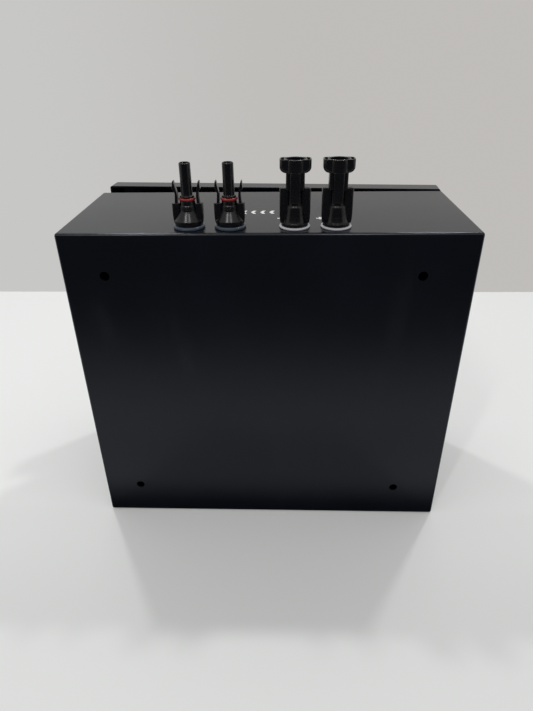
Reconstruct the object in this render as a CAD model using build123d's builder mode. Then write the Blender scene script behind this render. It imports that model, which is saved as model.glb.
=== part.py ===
from build123d import *
import os
from math import cos, hypot, radians, sin, tan

# Solar combiner box: a folded steel wall box with a hinged door, four panel connectors in its upper end
# and, inside, string fuses, a two-pole breaker and a surge protector on a top-hat rail.
# Millimetres. The origin is the middle of the four wall holes on the back face. +Y leaves the back
# towards the wall, +Z points up through the connectors, and the hinges are on the -X side.

os.makedirs("parts", exist_ok=True)

# Enclosure
box_width = 270.0
box_height = 240.0
box_depth = 108.5
box_shift = -3.2  # middle of the box from the middle of its wall holes
sheet = 1.5
fold_radius = 2.0
flange_width = 18.0
lip_reach = 10.5
opening_radius = 6.0
wall_hole_margin_x = 31.5  # mean distance of the hole axes from the box's sides
wall_hole_margin_z = 28.5
wall_hole_diameter = 6.3
knockout_diameter = 25.5
knockout_score_width = 0.8
knockout_score_depth = 0.6
knockout_spacing = 64.0

# Door, swung open by door_ajar from closed
door_depth = 16.0
door_gap = 3.0
door_lift = 0.5
door_ajar = 3.6
gasket_width = 9.0
gasket_clearance = 0.3

# Hinges
hinge_inset = 5.0  # pin axis from the door's outer side and from its near edge
hinge_margin = 45.0  # middle of each hinge from the box's upper or lower end
hinge_pin_diameter = 3.0
hinge_running = 0.05
knuckle_diameter = 6.0
bracket_knuckle = 11.2
leaf_knuckle = 6.6
knuckle_gap = 0.4
bracket_thickness = 2.0
bracket_height = 26.0
bracket_reach = 10.5  # from the pin axis towards the middle of the box
leaf_thickness = 1.5
leaf_reach = 7.0
web_thickness = 3.0
notch_height = 28.0
notch_depth = 9.5
pin_head_diameter = 4.6
pin_head_height = 1.0
rivet_diameter = 3.2
rivet_head_diameter = 4.8
rivet_head_height = 1.2
rivet_offset = 6.0
rivet_spacing = 17.0

# Lock
lock_inset = 37.0  # lock axis from the door's free side
lock_flange_diameter = 26.0
lock_flange_thickness = 2.5
lock_barrel_diameter = 18.0
lock_plug_diameter = 12.0
lock_head_diameter = 15.0
lock_head_depth = 1.5
lock_running = 0.05
lock_nut_across = 24.0
lock_nut_thickness = 5.0
key_recess_diameter = 9.0
key_recess_depth = 7.0
key_pin_diameter = 3.0
key_bit_width = 2.0
cam_length = 26.0
cam_width = 14.0
cam_thickness = 2.0
cam_clearance = 0.5
cam_square = 7.0
cam_screw_diameter = 4.0
cam_screw_head = 9.0
cam_screw_head_height = 2.6
cam_screw_length = 8.0

# Mounting plate and rail
plate_margin_x = 17.0  # plate's edges from the box's sides and ends
plate_margin_z = 45.0
plate_thickness = 2.0
plate_gap = 10.0  # from the back face of the box to the plate
plate_fold = 8.0
plate_edge = 10.0  # stud axes from the plate's edges
stud_diameter = 6.0
stud_collar_diameter = 10.0
stud_clearance = 0.3
stud_nut_across = 10.0
stud_nut_thickness = 5.0
stud_end = 2.0
rail_margin = 5.0  # rail's ends from the plate's sides
rail_width = 35.0
rail_depth = 7.5
rail_channel = 27.0
rail_sheet = 1.0
rail_slot_length = 15.0
rail_slot_width = 5.2
rail_slot_pitch = 25.0
rail_screw_pitch = 75.0
rail_screw_diameter = 5.0
rail_screw_head = 9.0
rail_screw_head_height = 3.0
rail_screw_length = 9.0

# Rail-mounted modules
module_pitch = 17.8
module_play = 0.2
module_height = 84.0
module_tail = 3.5  # how far a module reaches behind the rail's front
shoulder_depth = 44.0
nose_depth = 60.0
nose_height = 45.0
module_round = 1.2
hook_depth = 2.0
hook_clearance = 0.2
wire_depth = 27.5  # wire axes from the rail's front
wire_mouth_diameter = 5.6
wire_mouth_depth = 12.0
terminal_inset = 6.5
screw_tunnel_diameter = 5.6
screw_tunnel_depth = 6.0
screw_head_height = 2.5
screw_head_diameter = 5.2
screw_shank_diameter = 3.2
screw_slot = 0.8
screw_tip_clearance = 0.3

# Fuse holders, carriers and fuses
fuse_nose_height = 62.0
cheek_thickness = 2.1
carrier_clearance = 0.3
fuse_diameter = 10.3
fuse_length = 38.0
fuse_barrel_diameter = 9.8
ferrule_length = 10.0
fuse_depth = 38.5  # fuse axis from the rail's front
fuse_rise = 3.0
pivot_depth = 52.5
pivot_drop = 20.0
pivot_diameter = 4.0
pivot_running = 0.05
pivot_length = 1.3
carrier_front = 0.5  # how far the carrier stands proud of the nose
saddle_clearance = 0.1
saddle_reach = 6.0
saddle_half_width = 5.0
saddle_wall = 2.0
pocket_back = 24.5
grip_height = 5.0
grip_reach = 2.4
clip_sheet = 0.8
clip_height = 6.0
clip_inset = 6.0
clip_clearance = 0.3
clip_setback = 1.0  # clip fronts behind the fuse axis

# Breaker
toggle_pivot_depth = 55.0
toggle_drum_diameter = 13.4
toggle_width = 26.0
toggle_reach = 14.0
toggle_root = 5.2
toggle_tip = 3.6
toggle_clearance = 0.3
toggle_axle_diameter = 3.0
toggle_axle_length = 1.8
toggle_off_angle = 28.0

# Surge protector
cartridge_height = 44.0
cartridge_back = 18.5
cartridge_play = 0.4
cartridge_clearance = 0.3
blade_length = 6.0
blade_height = 7.0
blade_thickness = 1.2
cartridge_grip = 1.5
cartridge_grip_count = 3

# Earth terminal and end stops
earth_width = 10.0
stop_width = 9.4
stop_height = 46.0
stop_depth = 30.0

# Comb busbars and leads
comb_thickness = 1.5
comb_height = 6.0
comb_pin_width = 3.0
comb_pin_entry = 9.0
comb_drop = 8.0  # top of the lower bar below the modules
comb_step = 4.0
comb_spread = 5.2
lead_diameter = 4.2
lead_inset = 2.0  # end of a lead from the bottom of its terminal mouth
lead_straight = 1.0
lead_arc_share = 0.98  # of the largest arc that fits between two corners

# Panel connectors: heights are above the upper face of the box, walls are outside the tube or core
connector_depth = 14.0  # connector axes from the back face
connector_pair_pitch = 26.5
connector_inner = 20.7  # inner connector axes from the middle of the wall holes
stub_diameter = 12.0
stub_length = 12.0
stub_clearance = 0.15
seal_diameter = 20.5
seal_thickness = 2.0
seal_round = 0.7
connector_nut_across = 17.0
connector_nut_thickness = 4.5
housing_diameter = 19.4
wing_thickness = 2.2
wing_half_span = 7.0
contact_diameter = 5.2
contact_clearance = 0.05
crimp_length = 5.0
contact_pin_diameter = 3.8
skirt_diameter = 17.3
foot_rise = 1.2  # height of the foot above the seal
skirt_flare = 0.6
cone_bottom = 4.8
cone_top = 10.6
cone_wall = 2.1
neck_top = 14.4
neck_wall = 1.7
throat_bottom = 14.8
throat_wall = 1.3
ring_land = 1.2
ring_lip = 1.1
tube_shoulder = 0.9
tube_chamfer = 0.4
tube_diameter = 7.1
tube_top = 40.1
tube_base = 20.4
ring_section = 1.9
ring_height = 18.3
ring_diameter = 10.9
groove_clearance = 0.05
wing_top = 16.4
crown_slope = 1.4  # how far a wing's top falls towards the core
crown_drop = 1.8
crown_edge = 1.2
arm_thickness = 4.4
arm_top = 29.3
arm_outline = [  # insets from the wing's outside, drops below the arm's top
    (3.3, 15.3),
    (1.7, 15.3),
    (2.4, 7.3),
    (0.8, 4.6),
    (1.4, 0.0),
    (2.0, 0.0),
    (2.8, 3.2),
    (3.7, 7.3),
]
collar_top = 41.9
collar_bottom = 34.0
collar_depth = 9.6
collar_boss_diameter = 13.4
collar_round = 3.0
mouth_diameter = 10.9
mouth_depth = 8.9
slot_width = 2.5
slot_length = 3.8
slot_depth = 5.0
neck_width = 11.6
neck_depth = 9.0
core_diameter = 9.8
strip_width = 6.2
strip_reach = 6.4  # front of the strip from the axis
strip_bottom = 16.2
bell_outline = [  # walls outside the core, drops below the strip's bottom
    (2.3, 11.7),
    (0.9, 6.2),
    (0.5, 2.6),
    (0.0, 0.6),
]
shoulder_height = 24.9
shoulder_chamfer = 1.2
wing_flare = 3.0  # height over which the plug's wings widen from the skirt
neck_sink = 1.0
mating_clearance = 0.2
mating_allowance = 12.0  # depth left for the tube beyond its own length
contact_recess = 3.0  # end of a contact below the tube's end
contact_tip = 5.0  # end of the plug's contact below the mouth's floor

# Places that follow from the sizes above
box_left = box_shift - box_width / 2
box_top = box_height / 2
box_front = -box_depth
wall_hole_spacing_x = box_width - 2 * wall_hole_margin_x
wall_hole_spacing_z = box_height - 2 * wall_hole_margin_z
hinge_spacing = box_height - 2 * hinge_margin
opening_width = box_width - 2 * flange_width
opening_height = box_height - 2 * flange_width
lip_front = box_front - lip_reach
hinge_x = box_left + hinge_inset
hinge_y = box_front - door_gap - hinge_inset
plate_width = box_width - 2 * plate_margin_x
plate_height = box_height - 2 * plate_margin_z
rail_length = plate_width - 2 * rail_margin
rail_slot_count = 2 * int((rail_length - rail_slot_length) / (2 * rail_slot_pitch)) + 1
plate_back = -plate_gap
plate_front = plate_back - plate_thickness
rail_front = plate_front - rail_depth
shoulder_y = rail_front - shoulder_depth
nose_y = rail_front - nose_depth
wire_y = rail_front - wire_depth
terminal_z = module_height / 2 - terminal_inset
screw_seat_y = shoulder_y + screw_tunnel_depth
stud_x = plate_width / 2 - plate_edge
stud_z = plate_height / 2 - plate_edge
module_width = module_pitch - module_play

fuse_places = [(column - 1.5) * module_pitch for column in range(4)]
breaker_x = 3 * module_pitch
pole_places = [breaker_x - module_pitch / 2, breaker_x + module_pitch / 2]
surge_x = -3.5 * module_pitch
surge_places = [surge_x + column * module_pitch for column in (-1, 0, 1)]
earth_x = surge_x - 1.5 * module_pitch - earth_width / 2
terminal_places = fuse_places + pole_places + surge_places + [earth_x]
connector_outer = connector_inner + connector_pair_pitch
socket_places = [connector_outer, connector_inner]
plug_places = [-connector_inner, -connector_outer]
connector_places = socket_places + plug_places

# The door's own frame: its Z axis is the hinge axis, its X axis runs along the door
door_frame = Plane(
    origin=(hinge_x, hinge_y, 0),
    x_dir=(cos(radians(door_ajar)), -sin(radians(door_ajar)), 0),
    z_dir=(0, 0, 1),
)
door_near = hinge_inset
door_outer = door_near - door_depth
door_inner = door_outer + sheet
door_middle = box_width / 2 - hinge_inset
lock_x = box_width - hinge_inset - lock_inset
cam_outer = box_front + sheet + cam_clearance - hinge_y
cam_inner = cam_outer + cam_thickness


def facing(y):
    """Upright plane at depth y, whose extrusions run towards the door side."""
    return Plane.XZ.offset(-y)


def door_facing(y, z=0.0, x=0.0):
    """The same kind of plane in the door's own frame."""
    return Plane(
        origin=door_frame.from_local_coords(Vector(x, y, z)),
        x_dir=door_frame.x_dir,
        z_dir=-door_frame.y_dir,
    )


def door_level(z):
    """Level plane at height z in the door's own frame."""
    return door_frame.offset(z)


def connector_section(x):
    """Upright plane through a connector's axis, with its origin on the upper face of the box."""
    return Plane(origin=(x, -connector_depth, box_top), x_dir=(1, 0, 0), z_dir=(0, -1, 0))


def connector_level(x, height):
    """Level plane round a connector's axis, at a height above the upper face of the box."""
    return Plane.XY.offset(box_top + height).shift_origin((x, -connector_depth, box_top + height))


def span(low_x, high_x, low_y, high_y, mode=Mode.ADD):
    """Rectangle given by its limits in the current sketch."""
    with Locations(((low_x + high_x) / 2, (low_y + high_y) / 2)):
        Rectangle(high_x - low_x, high_y - low_y, mode=mode)


# Enclosure
with BuildPart() as enclosure:
    with Locations((box_shift, -box_depth / 2, 0)):
        Box(box_width, box_depth, box_height)
    fillet(enclosure.edges(), fold_radius)
    with BuildSketch(facing(-sheet)):
        with Locations((box_shift, 0)):
            RectangleRounded(box_width - 2 * sheet, box_height - 2 * sheet, fold_radius - sheet + 0.1)
    extrude(amount=box_depth - 2 * sheet, mode=Mode.SUBTRACT)
    with BuildSketch(facing(box_front + sheet)):
        with Locations((box_shift, 0)):
            RectangleRounded(opening_width, opening_height, opening_radius)
    extrude(amount=sheet, mode=Mode.SUBTRACT)
    with BuildSketch(facing(box_front)):
        with Locations((box_shift, 0)):
            RectangleRounded(
                opening_width + 2 * sheet, opening_height + 2 * sheet, opening_radius + sheet
            )
            RectangleRounded(opening_width, opening_height, opening_radius, mode=Mode.SUBTRACT)
    extrude(amount=lip_reach)
    with BuildSketch(facing(-sheet)):
        with Locations((box_shift, 0)):
            with GridLocations(2 * stud_x, 2 * stud_z, 2, 2):
                Circle(stud_collar_diameter / 2)
    extrude(amount=plate_gap - sheet)
    with BuildSketch(facing(plate_back)):
        with Locations((box_shift, 0)):
            with GridLocations(2 * stud_x, 2 * stud_z, 2, 2):
                Circle(stud_diameter / 2)
    extrude(amount=plate_thickness + stud_nut_thickness + stud_end)
    with BuildSketch(facing(0)):
        with GridLocations(wall_hole_spacing_x, wall_hole_spacing_z, 2, 2):
            Circle(wall_hole_diameter / 2)
    extrude(amount=sheet, mode=Mode.SUBTRACT)
    with BuildSketch(Plane.XY.offset(box_top)):
        with Locations(*[(x, -connector_depth) for x in connector_places]):
            Circle(stub_diameter / 2 + stub_clearance)
    extrude(amount=-sheet, mode=Mode.SUBTRACT)
    with BuildSketch(facing(box_front)):
        with GridLocations(0, hinge_spacing, 1, 2):
            with Locations((hinge_x + rivet_offset, 0)):
                with GridLocations(0, rivet_spacing, 1, 2):
                    Circle(rivet_diameter / 2)
    extrude(amount=-sheet, mode=Mode.SUBTRACT)
    with BuildSketch(Plane.XY.offset(-box_top)):
        with Locations((box_shift, -box_depth / 2)):
            with GridLocations(knockout_spacing, 0, 2, 1):
                Circle(knockout_diameter / 2)
                Circle(knockout_diameter / 2 - knockout_score_width, mode=Mode.SUBTRACT)
    extrude(amount=knockout_score_depth, mode=Mode.SUBTRACT)
enclosure.part.label = "enclosure"
export_step(enclosure.part, "parts/enclosure.step")

# Door pan, with a notch in its hinge-side rim for each hinge bracket and a hole for the lock
with BuildPart(door_frame) as door:
    with Locations((door_middle, (door_near + door_outer) / 2, door_lift)):
        Box(box_width, door_depth, box_height)
    pan_face = door.faces().sort_by(Axis(door_frame.origin, door_frame.y_dir))[0]
    corner_edges = door.edges().filter_by(Axis(door_frame.origin, door_frame.y_dir))
    fillet(corner_edges + pan_face.edges(), fold_radius)
    with BuildSketch(door_facing(door_near)):
        with Locations((door_middle, door_lift)):
            RectangleRounded(box_width - 2 * sheet, box_height - 2 * sheet, fold_radius - sheet + 0.1)
    extrude(amount=door_depth - sheet, mode=Mode.SUBTRACT)
    with BuildSketch(door_facing(door_near)):
        with GridLocations(0, hinge_spacing, 1, 2):
            with Locations((-hinge_inset, 0)):
                Rectangle(2 * sheet, notch_height)
    extrude(amount=notch_depth, mode=Mode.SUBTRACT)
    with BuildSketch(door_facing(door_inner)):
        with Locations((lock_x, door_lift)):
            Circle(lock_barrel_diameter / 2)
    extrude(amount=sheet, mode=Mode.SUBTRACT)
door.part.label = "door"
export_step(door.part, "parts/door.step")

# Foam gasket on the door's inner face, over the lip round the opening
gasket_front = lip_front - gasket_clearance - hinge_y
with BuildPart() as door_gasket:
    with BuildSketch(door_facing(gasket_front)):
        with Locations((door_middle, 0)):
            RectangleRounded(
                opening_width + sheet + gasket_width,
                opening_height + sheet + gasket_width,
                opening_radius + (sheet + gasket_width) / 2,
            )
            RectangleRounded(
                opening_width + sheet - gasket_width,
                opening_height + sheet - gasket_width,
                opening_radius / 2,
                mode=Mode.SUBTRACT,
            )
    extrude(amount=gasket_front - door_inner)
door_gasket.part.label = "door_gasket"
export_step(door_gasket.part, "parts/door_gasket.step")

# Hinges: a bracket on the box, a leaf on the door and a pin through both
hinge_heights = {"lower": -hinge_spacing / 2, "upper": hinge_spacing / 2}
leaf_bottom = bracket_knuckle / 2 + knuckle_gap
leaf_top = leaf_bottom + leaf_knuckle
for place, height in hinge_heights.items():
    with BuildPart() as hinge_bracket:
        with BuildSketch(facing(box_front)):
            with Locations((hinge_x, height)):
                span(-web_thickness / 2, bracket_reach, -bracket_height / 2, bracket_height / 2)
                with Locations((rivet_offset, 0)):
                    with GridLocations(0, rivet_spacing, 1, 2):
                        Circle(rivet_diameter / 2, mode=Mode.SUBTRACT)
        extrude(amount=bracket_thickness)
        with BuildSketch(Plane.XY.offset(height)):
            with Locations((hinge_x, hinge_y)):
                Circle(knuckle_diameter / 2)
                span(-web_thickness / 2, web_thickness / 2, 0, box_front - bracket_thickness - hinge_y)
                Circle(hinge_pin_diameter / 2 + hinge_running, mode=Mode.SUBTRACT)
        extrude(amount=bracket_knuckle / 2, both=True)
    hinge_bracket.part.label = f"hinge_bracket_{place}"
    export_step(hinge_bracket.part, f"parts/hinge_bracket_{place}.step")

    with BuildPart() as hinge_leaf:
        with BuildSketch(door_facing(door_inner + leaf_thickness)):
            span(
                sheet - hinge_inset,
                leaf_reach,
                height - bracket_height / 2,
                height + bracket_height / 2,
            )
        extrude(amount=leaf_thickness)
        with BuildSketch(door_level(height + leaf_bottom), door_level(height - leaf_top)):
            Circle(knuckle_diameter / 2)
            span(-web_thickness / 2, web_thickness / 2, door_inner + leaf_thickness, 0)
            Circle(hinge_pin_diameter / 2, mode=Mode.SUBTRACT)
        extrude(amount=leaf_knuckle)
    hinge_leaf.part.label = f"hinge_leaf_{place}"
    export_step(hinge_leaf.part, f"parts/hinge_leaf_{place}.step")

with BuildPart() as hinge_pins:
    for height in hinge_heights.values():
        with BuildSketch(door_level(height - leaf_top)):
            Circle(hinge_pin_diameter / 2)
        extrude(amount=2 * leaf_top)
        with BuildSketch(door_level(height + leaf_top)):
            Circle(pin_head_diameter / 2)
        extrude(amount=pin_head_height)
hinge_pins.part.label = "hinge_pins"
export_step(hinge_pins.part, "parts/hinge_pins.step")

rivet_places = [
    (hinge_x + rivet_offset, height + side * rivet_spacing / 2)
    for height in hinge_heights.values()
    for side in (-1, 1)
]
with BuildPart() as hinge_rivets:
    with BuildSketch(facing(box_front + sheet + rivet_head_height)):
        with Locations(*rivet_places):
            Circle(rivet_head_diameter / 2)
    extrude(amount=rivet_head_height, taper=20)
    with BuildSketch(facing(box_front + sheet)):
        with Locations(*rivet_places):
            Circle(rivet_diameter / 2)
    extrude(amount=sheet + bracket_thickness)
    with BuildSketch(facing(box_front - bracket_thickness)):
        with Locations(*rivet_places):
            Circle(rivet_head_diameter / 2)
    extrude(amount=rivet_head_height, taper=20)
hinge_rivets.part.label = "hinge_rivets"
export_step(hinge_rivets.part, "parts/hinge_rivets.step")

# Quarter-turn lock through the door: body, nut, turning plug, cam and cam screw
lock_front = door_outer - lock_flange_thickness
lock_barrel_end = cam_outer - gasket_clearance
with BuildPart() as lock_body:
    with BuildSketch(door_facing(door_outer, door_lift, lock_x)):
        Circle(lock_flange_diameter / 2)
    extrude(amount=lock_flange_thickness)
    chamfer(
        lock_body.faces().sort_by(Axis(door_frame.origin, door_frame.y_dir))[0].edges(),
        lock_flange_thickness / 3,
    )
    with BuildSketch(door_facing(lock_barrel_end, door_lift, lock_x)):
        Circle(lock_barrel_diameter / 2)
    extrude(amount=lock_barrel_end - door_outer)
    with BuildSketch(door_facing(lock_barrel_end, door_lift, lock_x)):
        Circle(lock_plug_diameter / 2 + lock_running)
    extrude(amount=lock_barrel_end - lock_front, mode=Mode.SUBTRACT)
    with BuildSketch(door_facing(lock_front + lock_head_depth + lock_running, door_lift, lock_x)):
        Circle(lock_head_diameter / 2 + lock_running)
    extrude(amount=lock_head_depth + lock_running, mode=Mode.SUBTRACT)
lock_body.part.label = "lock_body"
export_step(lock_body.part, "parts/lock_body.step")

with BuildPart() as lock_nut:
    with BuildSketch(door_facing(door_inner + lock_nut_thickness, door_lift, lock_x)):
        RegularPolygon(lock_nut_across / 2, 6, major_radius=False)
        Circle(lock_barrel_diameter / 2, mode=Mode.SUBTRACT)
    extrude(amount=lock_nut_thickness)
lock_nut.part.label = "lock_nut"
export_step(lock_nut.part, "parts/lock_nut.step")

with BuildPart() as lock_plug:
    with BuildSketch(door_facing(cam_outer, door_lift, lock_x)):
        Circle(lock_plug_diameter / 2)
    extrude(amount=cam_outer - lock_front)
    with BuildSketch(door_facing(lock_front + lock_head_depth, door_lift, lock_x)):
        Circle(lock_head_diameter / 2)
    extrude(amount=lock_head_depth)
    with BuildSketch(door_facing(cam_inner, door_lift, lock_x)):
        Rectangle(cam_square, cam_square)
    extrude(amount=cam_thickness)
    with BuildSketch(door_facing(lock_front + key_recess_depth, door_lift, lock_x)):
        Circle(key_recess_diameter / 2)
        Circle(key_pin_diameter / 2, mode=Mode.SUBTRACT)
        Rectangle(key_recess_diameter * 2 / 3, key_bit_width, mode=Mode.SUBTRACT)
    extrude(amount=key_recess_depth, mode=Mode.SUBTRACT)
    with BuildSketch(door_facing(cam_inner, door_lift, lock_x)):
        Circle(cam_screw_diameter / 2)
    extrude(amount=cam_screw_length, mode=Mode.SUBTRACT)
lock_plug.part.label = "lock_plug"
export_step(lock_plug.part, "parts/lock_plug.step")

with BuildPart() as lock_cam:
    with BuildSketch(door_facing(cam_inner, door_lift, lock_x)):
        Circle(cam_width / 2)
        span(-cam_width / 2, cam_width / 2, 0, cam_length)
        Rectangle(cam_square + 2 * lock_running, cam_square + 2 * lock_running, mode=Mode.SUBTRACT)
    extrude(amount=cam_thickness)
    tip_edges = lock_cam.edges().filter_by(Axis(door_frame.origin, door_frame.y_dir)).sort_by(Axis.Z)[-2:]
    fillet(tip_edges, cam_width / 5)
lock_cam.part.label = "lock_cam"
export_step(lock_cam.part, "parts/lock_cam.step")

with BuildPart() as lock_cam_screw:
    with BuildSketch(door_facing(cam_inner + cam_screw_head_height, door_lift, lock_x)):
        Circle(cam_screw_head / 2)
    extrude(amount=cam_screw_head_height)
    with BuildSketch(door_facing(cam_inner, door_lift, lock_x)):
        Circle(cam_screw_diameter / 2)
    extrude(amount=cam_screw_length)
    with BuildSketch(door_facing(cam_inner + cam_screw_head_height, door_lift, lock_x)):
        RegularPolygon(cam_screw_head / 4, 6)
    extrude(amount=cam_screw_head_height / 2, mode=Mode.SUBTRACT)
lock_cam_screw.part.label = "lock_cam_screw"
export_step(lock_cam_screw.part, "parts/lock_cam_screw.step")

# Mounting plate with folded upper and lower edges
with BuildPart() as mounting_plate:
    with BuildSketch(facing(plate_back)):
        with Locations((box_shift, 0)):
            Rectangle(plate_width, plate_height)
            with GridLocations(2 * stud_x, 2 * stud_z, 2, 2):
                Circle(stud_diameter / 2 + stud_clearance, mode=Mode.SUBTRACT)
            with GridLocations(rail_screw_pitch, 0, 3, 1):
                Circle(rail_screw_diameter / 2, mode=Mode.SUBTRACT)
    extrude(amount=plate_thickness)
    with BuildSketch(facing(plate_front)):
        with Locations((box_shift, 0)):
            with GridLocations(0, plate_height - plate_thickness, 1, 2):
                Rectangle(plate_width, plate_thickness)
    extrude(amount=plate_fold - plate_thickness)
    fold_edges = mounting_plate.edges().filter_by(Axis.X).group_by(Axis.Y)[-1]
    fillet(fold_edges, plate_thickness * 0.9)
mounting_plate.part.label = "mounting_plate"
export_step(mounting_plate.part, "parts/mounting_plate.step")

# Hexagon nuts on the four plate studs
with BuildPart() as stud_nuts:
    with BuildSketch(facing(plate_front)):
        with Locations((box_shift, 0)):
            with GridLocations(2 * stud_x, 2 * stud_z, 2, 2):
                RegularPolygon(stud_nut_across / 2, 6, major_radius=False)
                Circle(stud_diameter / 2, mode=Mode.SUBTRACT)
    extrude(amount=stud_nut_thickness)
stud_nuts.part.label = "stud_nuts"
export_step(stud_nuts.part, "parts/stud_nuts.step")

# Top-hat rail with slots, held by three screws
with BuildPart() as din_rail:
    with BuildSketch(Plane.YZ.offset(box_shift)):
        span(plate_front - rail_sheet, plate_front, -rail_channel / 2, rail_channel / 2)
        span(rail_front, plate_front, rail_channel / 2 - rail_sheet, rail_channel / 2)
        span(rail_front, plate_front, -rail_channel / 2, rail_sheet - rail_channel / 2)
        span(rail_front, rail_front + rail_sheet, rail_channel / 2 - rail_sheet, rail_width / 2)
        span(rail_front, rail_front + rail_sheet, -rail_width / 2, rail_sheet - rail_channel / 2)
    extrude(amount=rail_length / 2, both=True)
    with BuildSketch(facing(plate_front)):
        with Locations((box_shift, 0)):
            with GridLocations(rail_slot_pitch, 0, rail_slot_count, 1):
                SlotOverall(rail_slot_length, rail_slot_width)
    extrude(amount=rail_sheet, mode=Mode.SUBTRACT)
din_rail.part.label = "din_rail"
export_step(din_rail.part, "parts/din_rail.step")

with BuildPart() as rail_screws:
    with BuildSketch(facing(plate_front - rail_sheet)):
        with Locations((box_shift, 0)):
            with GridLocations(rail_screw_pitch, 0, 3, 1):
                Circle(rail_screw_head / 2)
    extrude(amount=rail_screw_head_height)
    with BuildSketch(facing(plate_front - rail_sheet)):
        with Locations((box_shift, 0)):
            with GridLocations(rail_screw_pitch, 0, 3, 1):
                Circle(rail_screw_diameter / 2)
    extrude(amount=rail_sheet - rail_screw_length)
rail_screws.part.label = "rail_screws"
export_step(rail_screws.part, "parts/rail_screws.step")


def rail_outline(height, depth, nose=0.0):
    """Side outline of a piece on the rail: body, nose and the hooked recess over the rail."""
    with BuildSketch(Plane.YZ) as outline:
        span(rail_front - depth, rail_front + module_tail, -height / 2, height / 2)
        if nose:
            span(nose_y, rail_front - depth, -nose / 2, nose / 2)
        fillet(outline.vertices(), module_round)
        hook_y = rail_front + rail_sheet + hook_clearance
        half = rail_width / 2 + hook_clearance
        span(rail_front, hook_y, -half, half, mode=Mode.SUBTRACT)
        span(
            hook_y,
            rail_front + module_tail,
            hook_depth - half,
            half - hook_depth,
            mode=Mode.SUBTRACT,
        )
    return outline.sketch


def terminal_tunnels(places):
    """Cutting solid for the wire mouths and screw tunnels at both ends of some modules."""
    with BuildPart() as tunnels:
        for side in (-1, 1):
            with BuildSketch(Plane.XY.offset(side * module_height / 2)):
                with Locations(*[(x, wire_y) for x in places]):
                    Circle(wire_mouth_diameter / 2)
            extrude(amount=-side * wire_mouth_depth)
            with BuildSketch(facing(screw_seat_y)):
                with Locations(*[(x, side * terminal_z) for x in places]):
                    Circle(screw_tunnel_diameter / 2)
            extrude(amount=screw_tunnel_depth)
            with BuildSketch(facing(wire_y)):
                with Locations(*[(x, side * terminal_z) for x in places]):
                    Circle(screw_shank_diameter / 2 + contact_clearance)
            extrude(amount=wire_y - screw_seat_y)
    return tunnels.part


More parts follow.
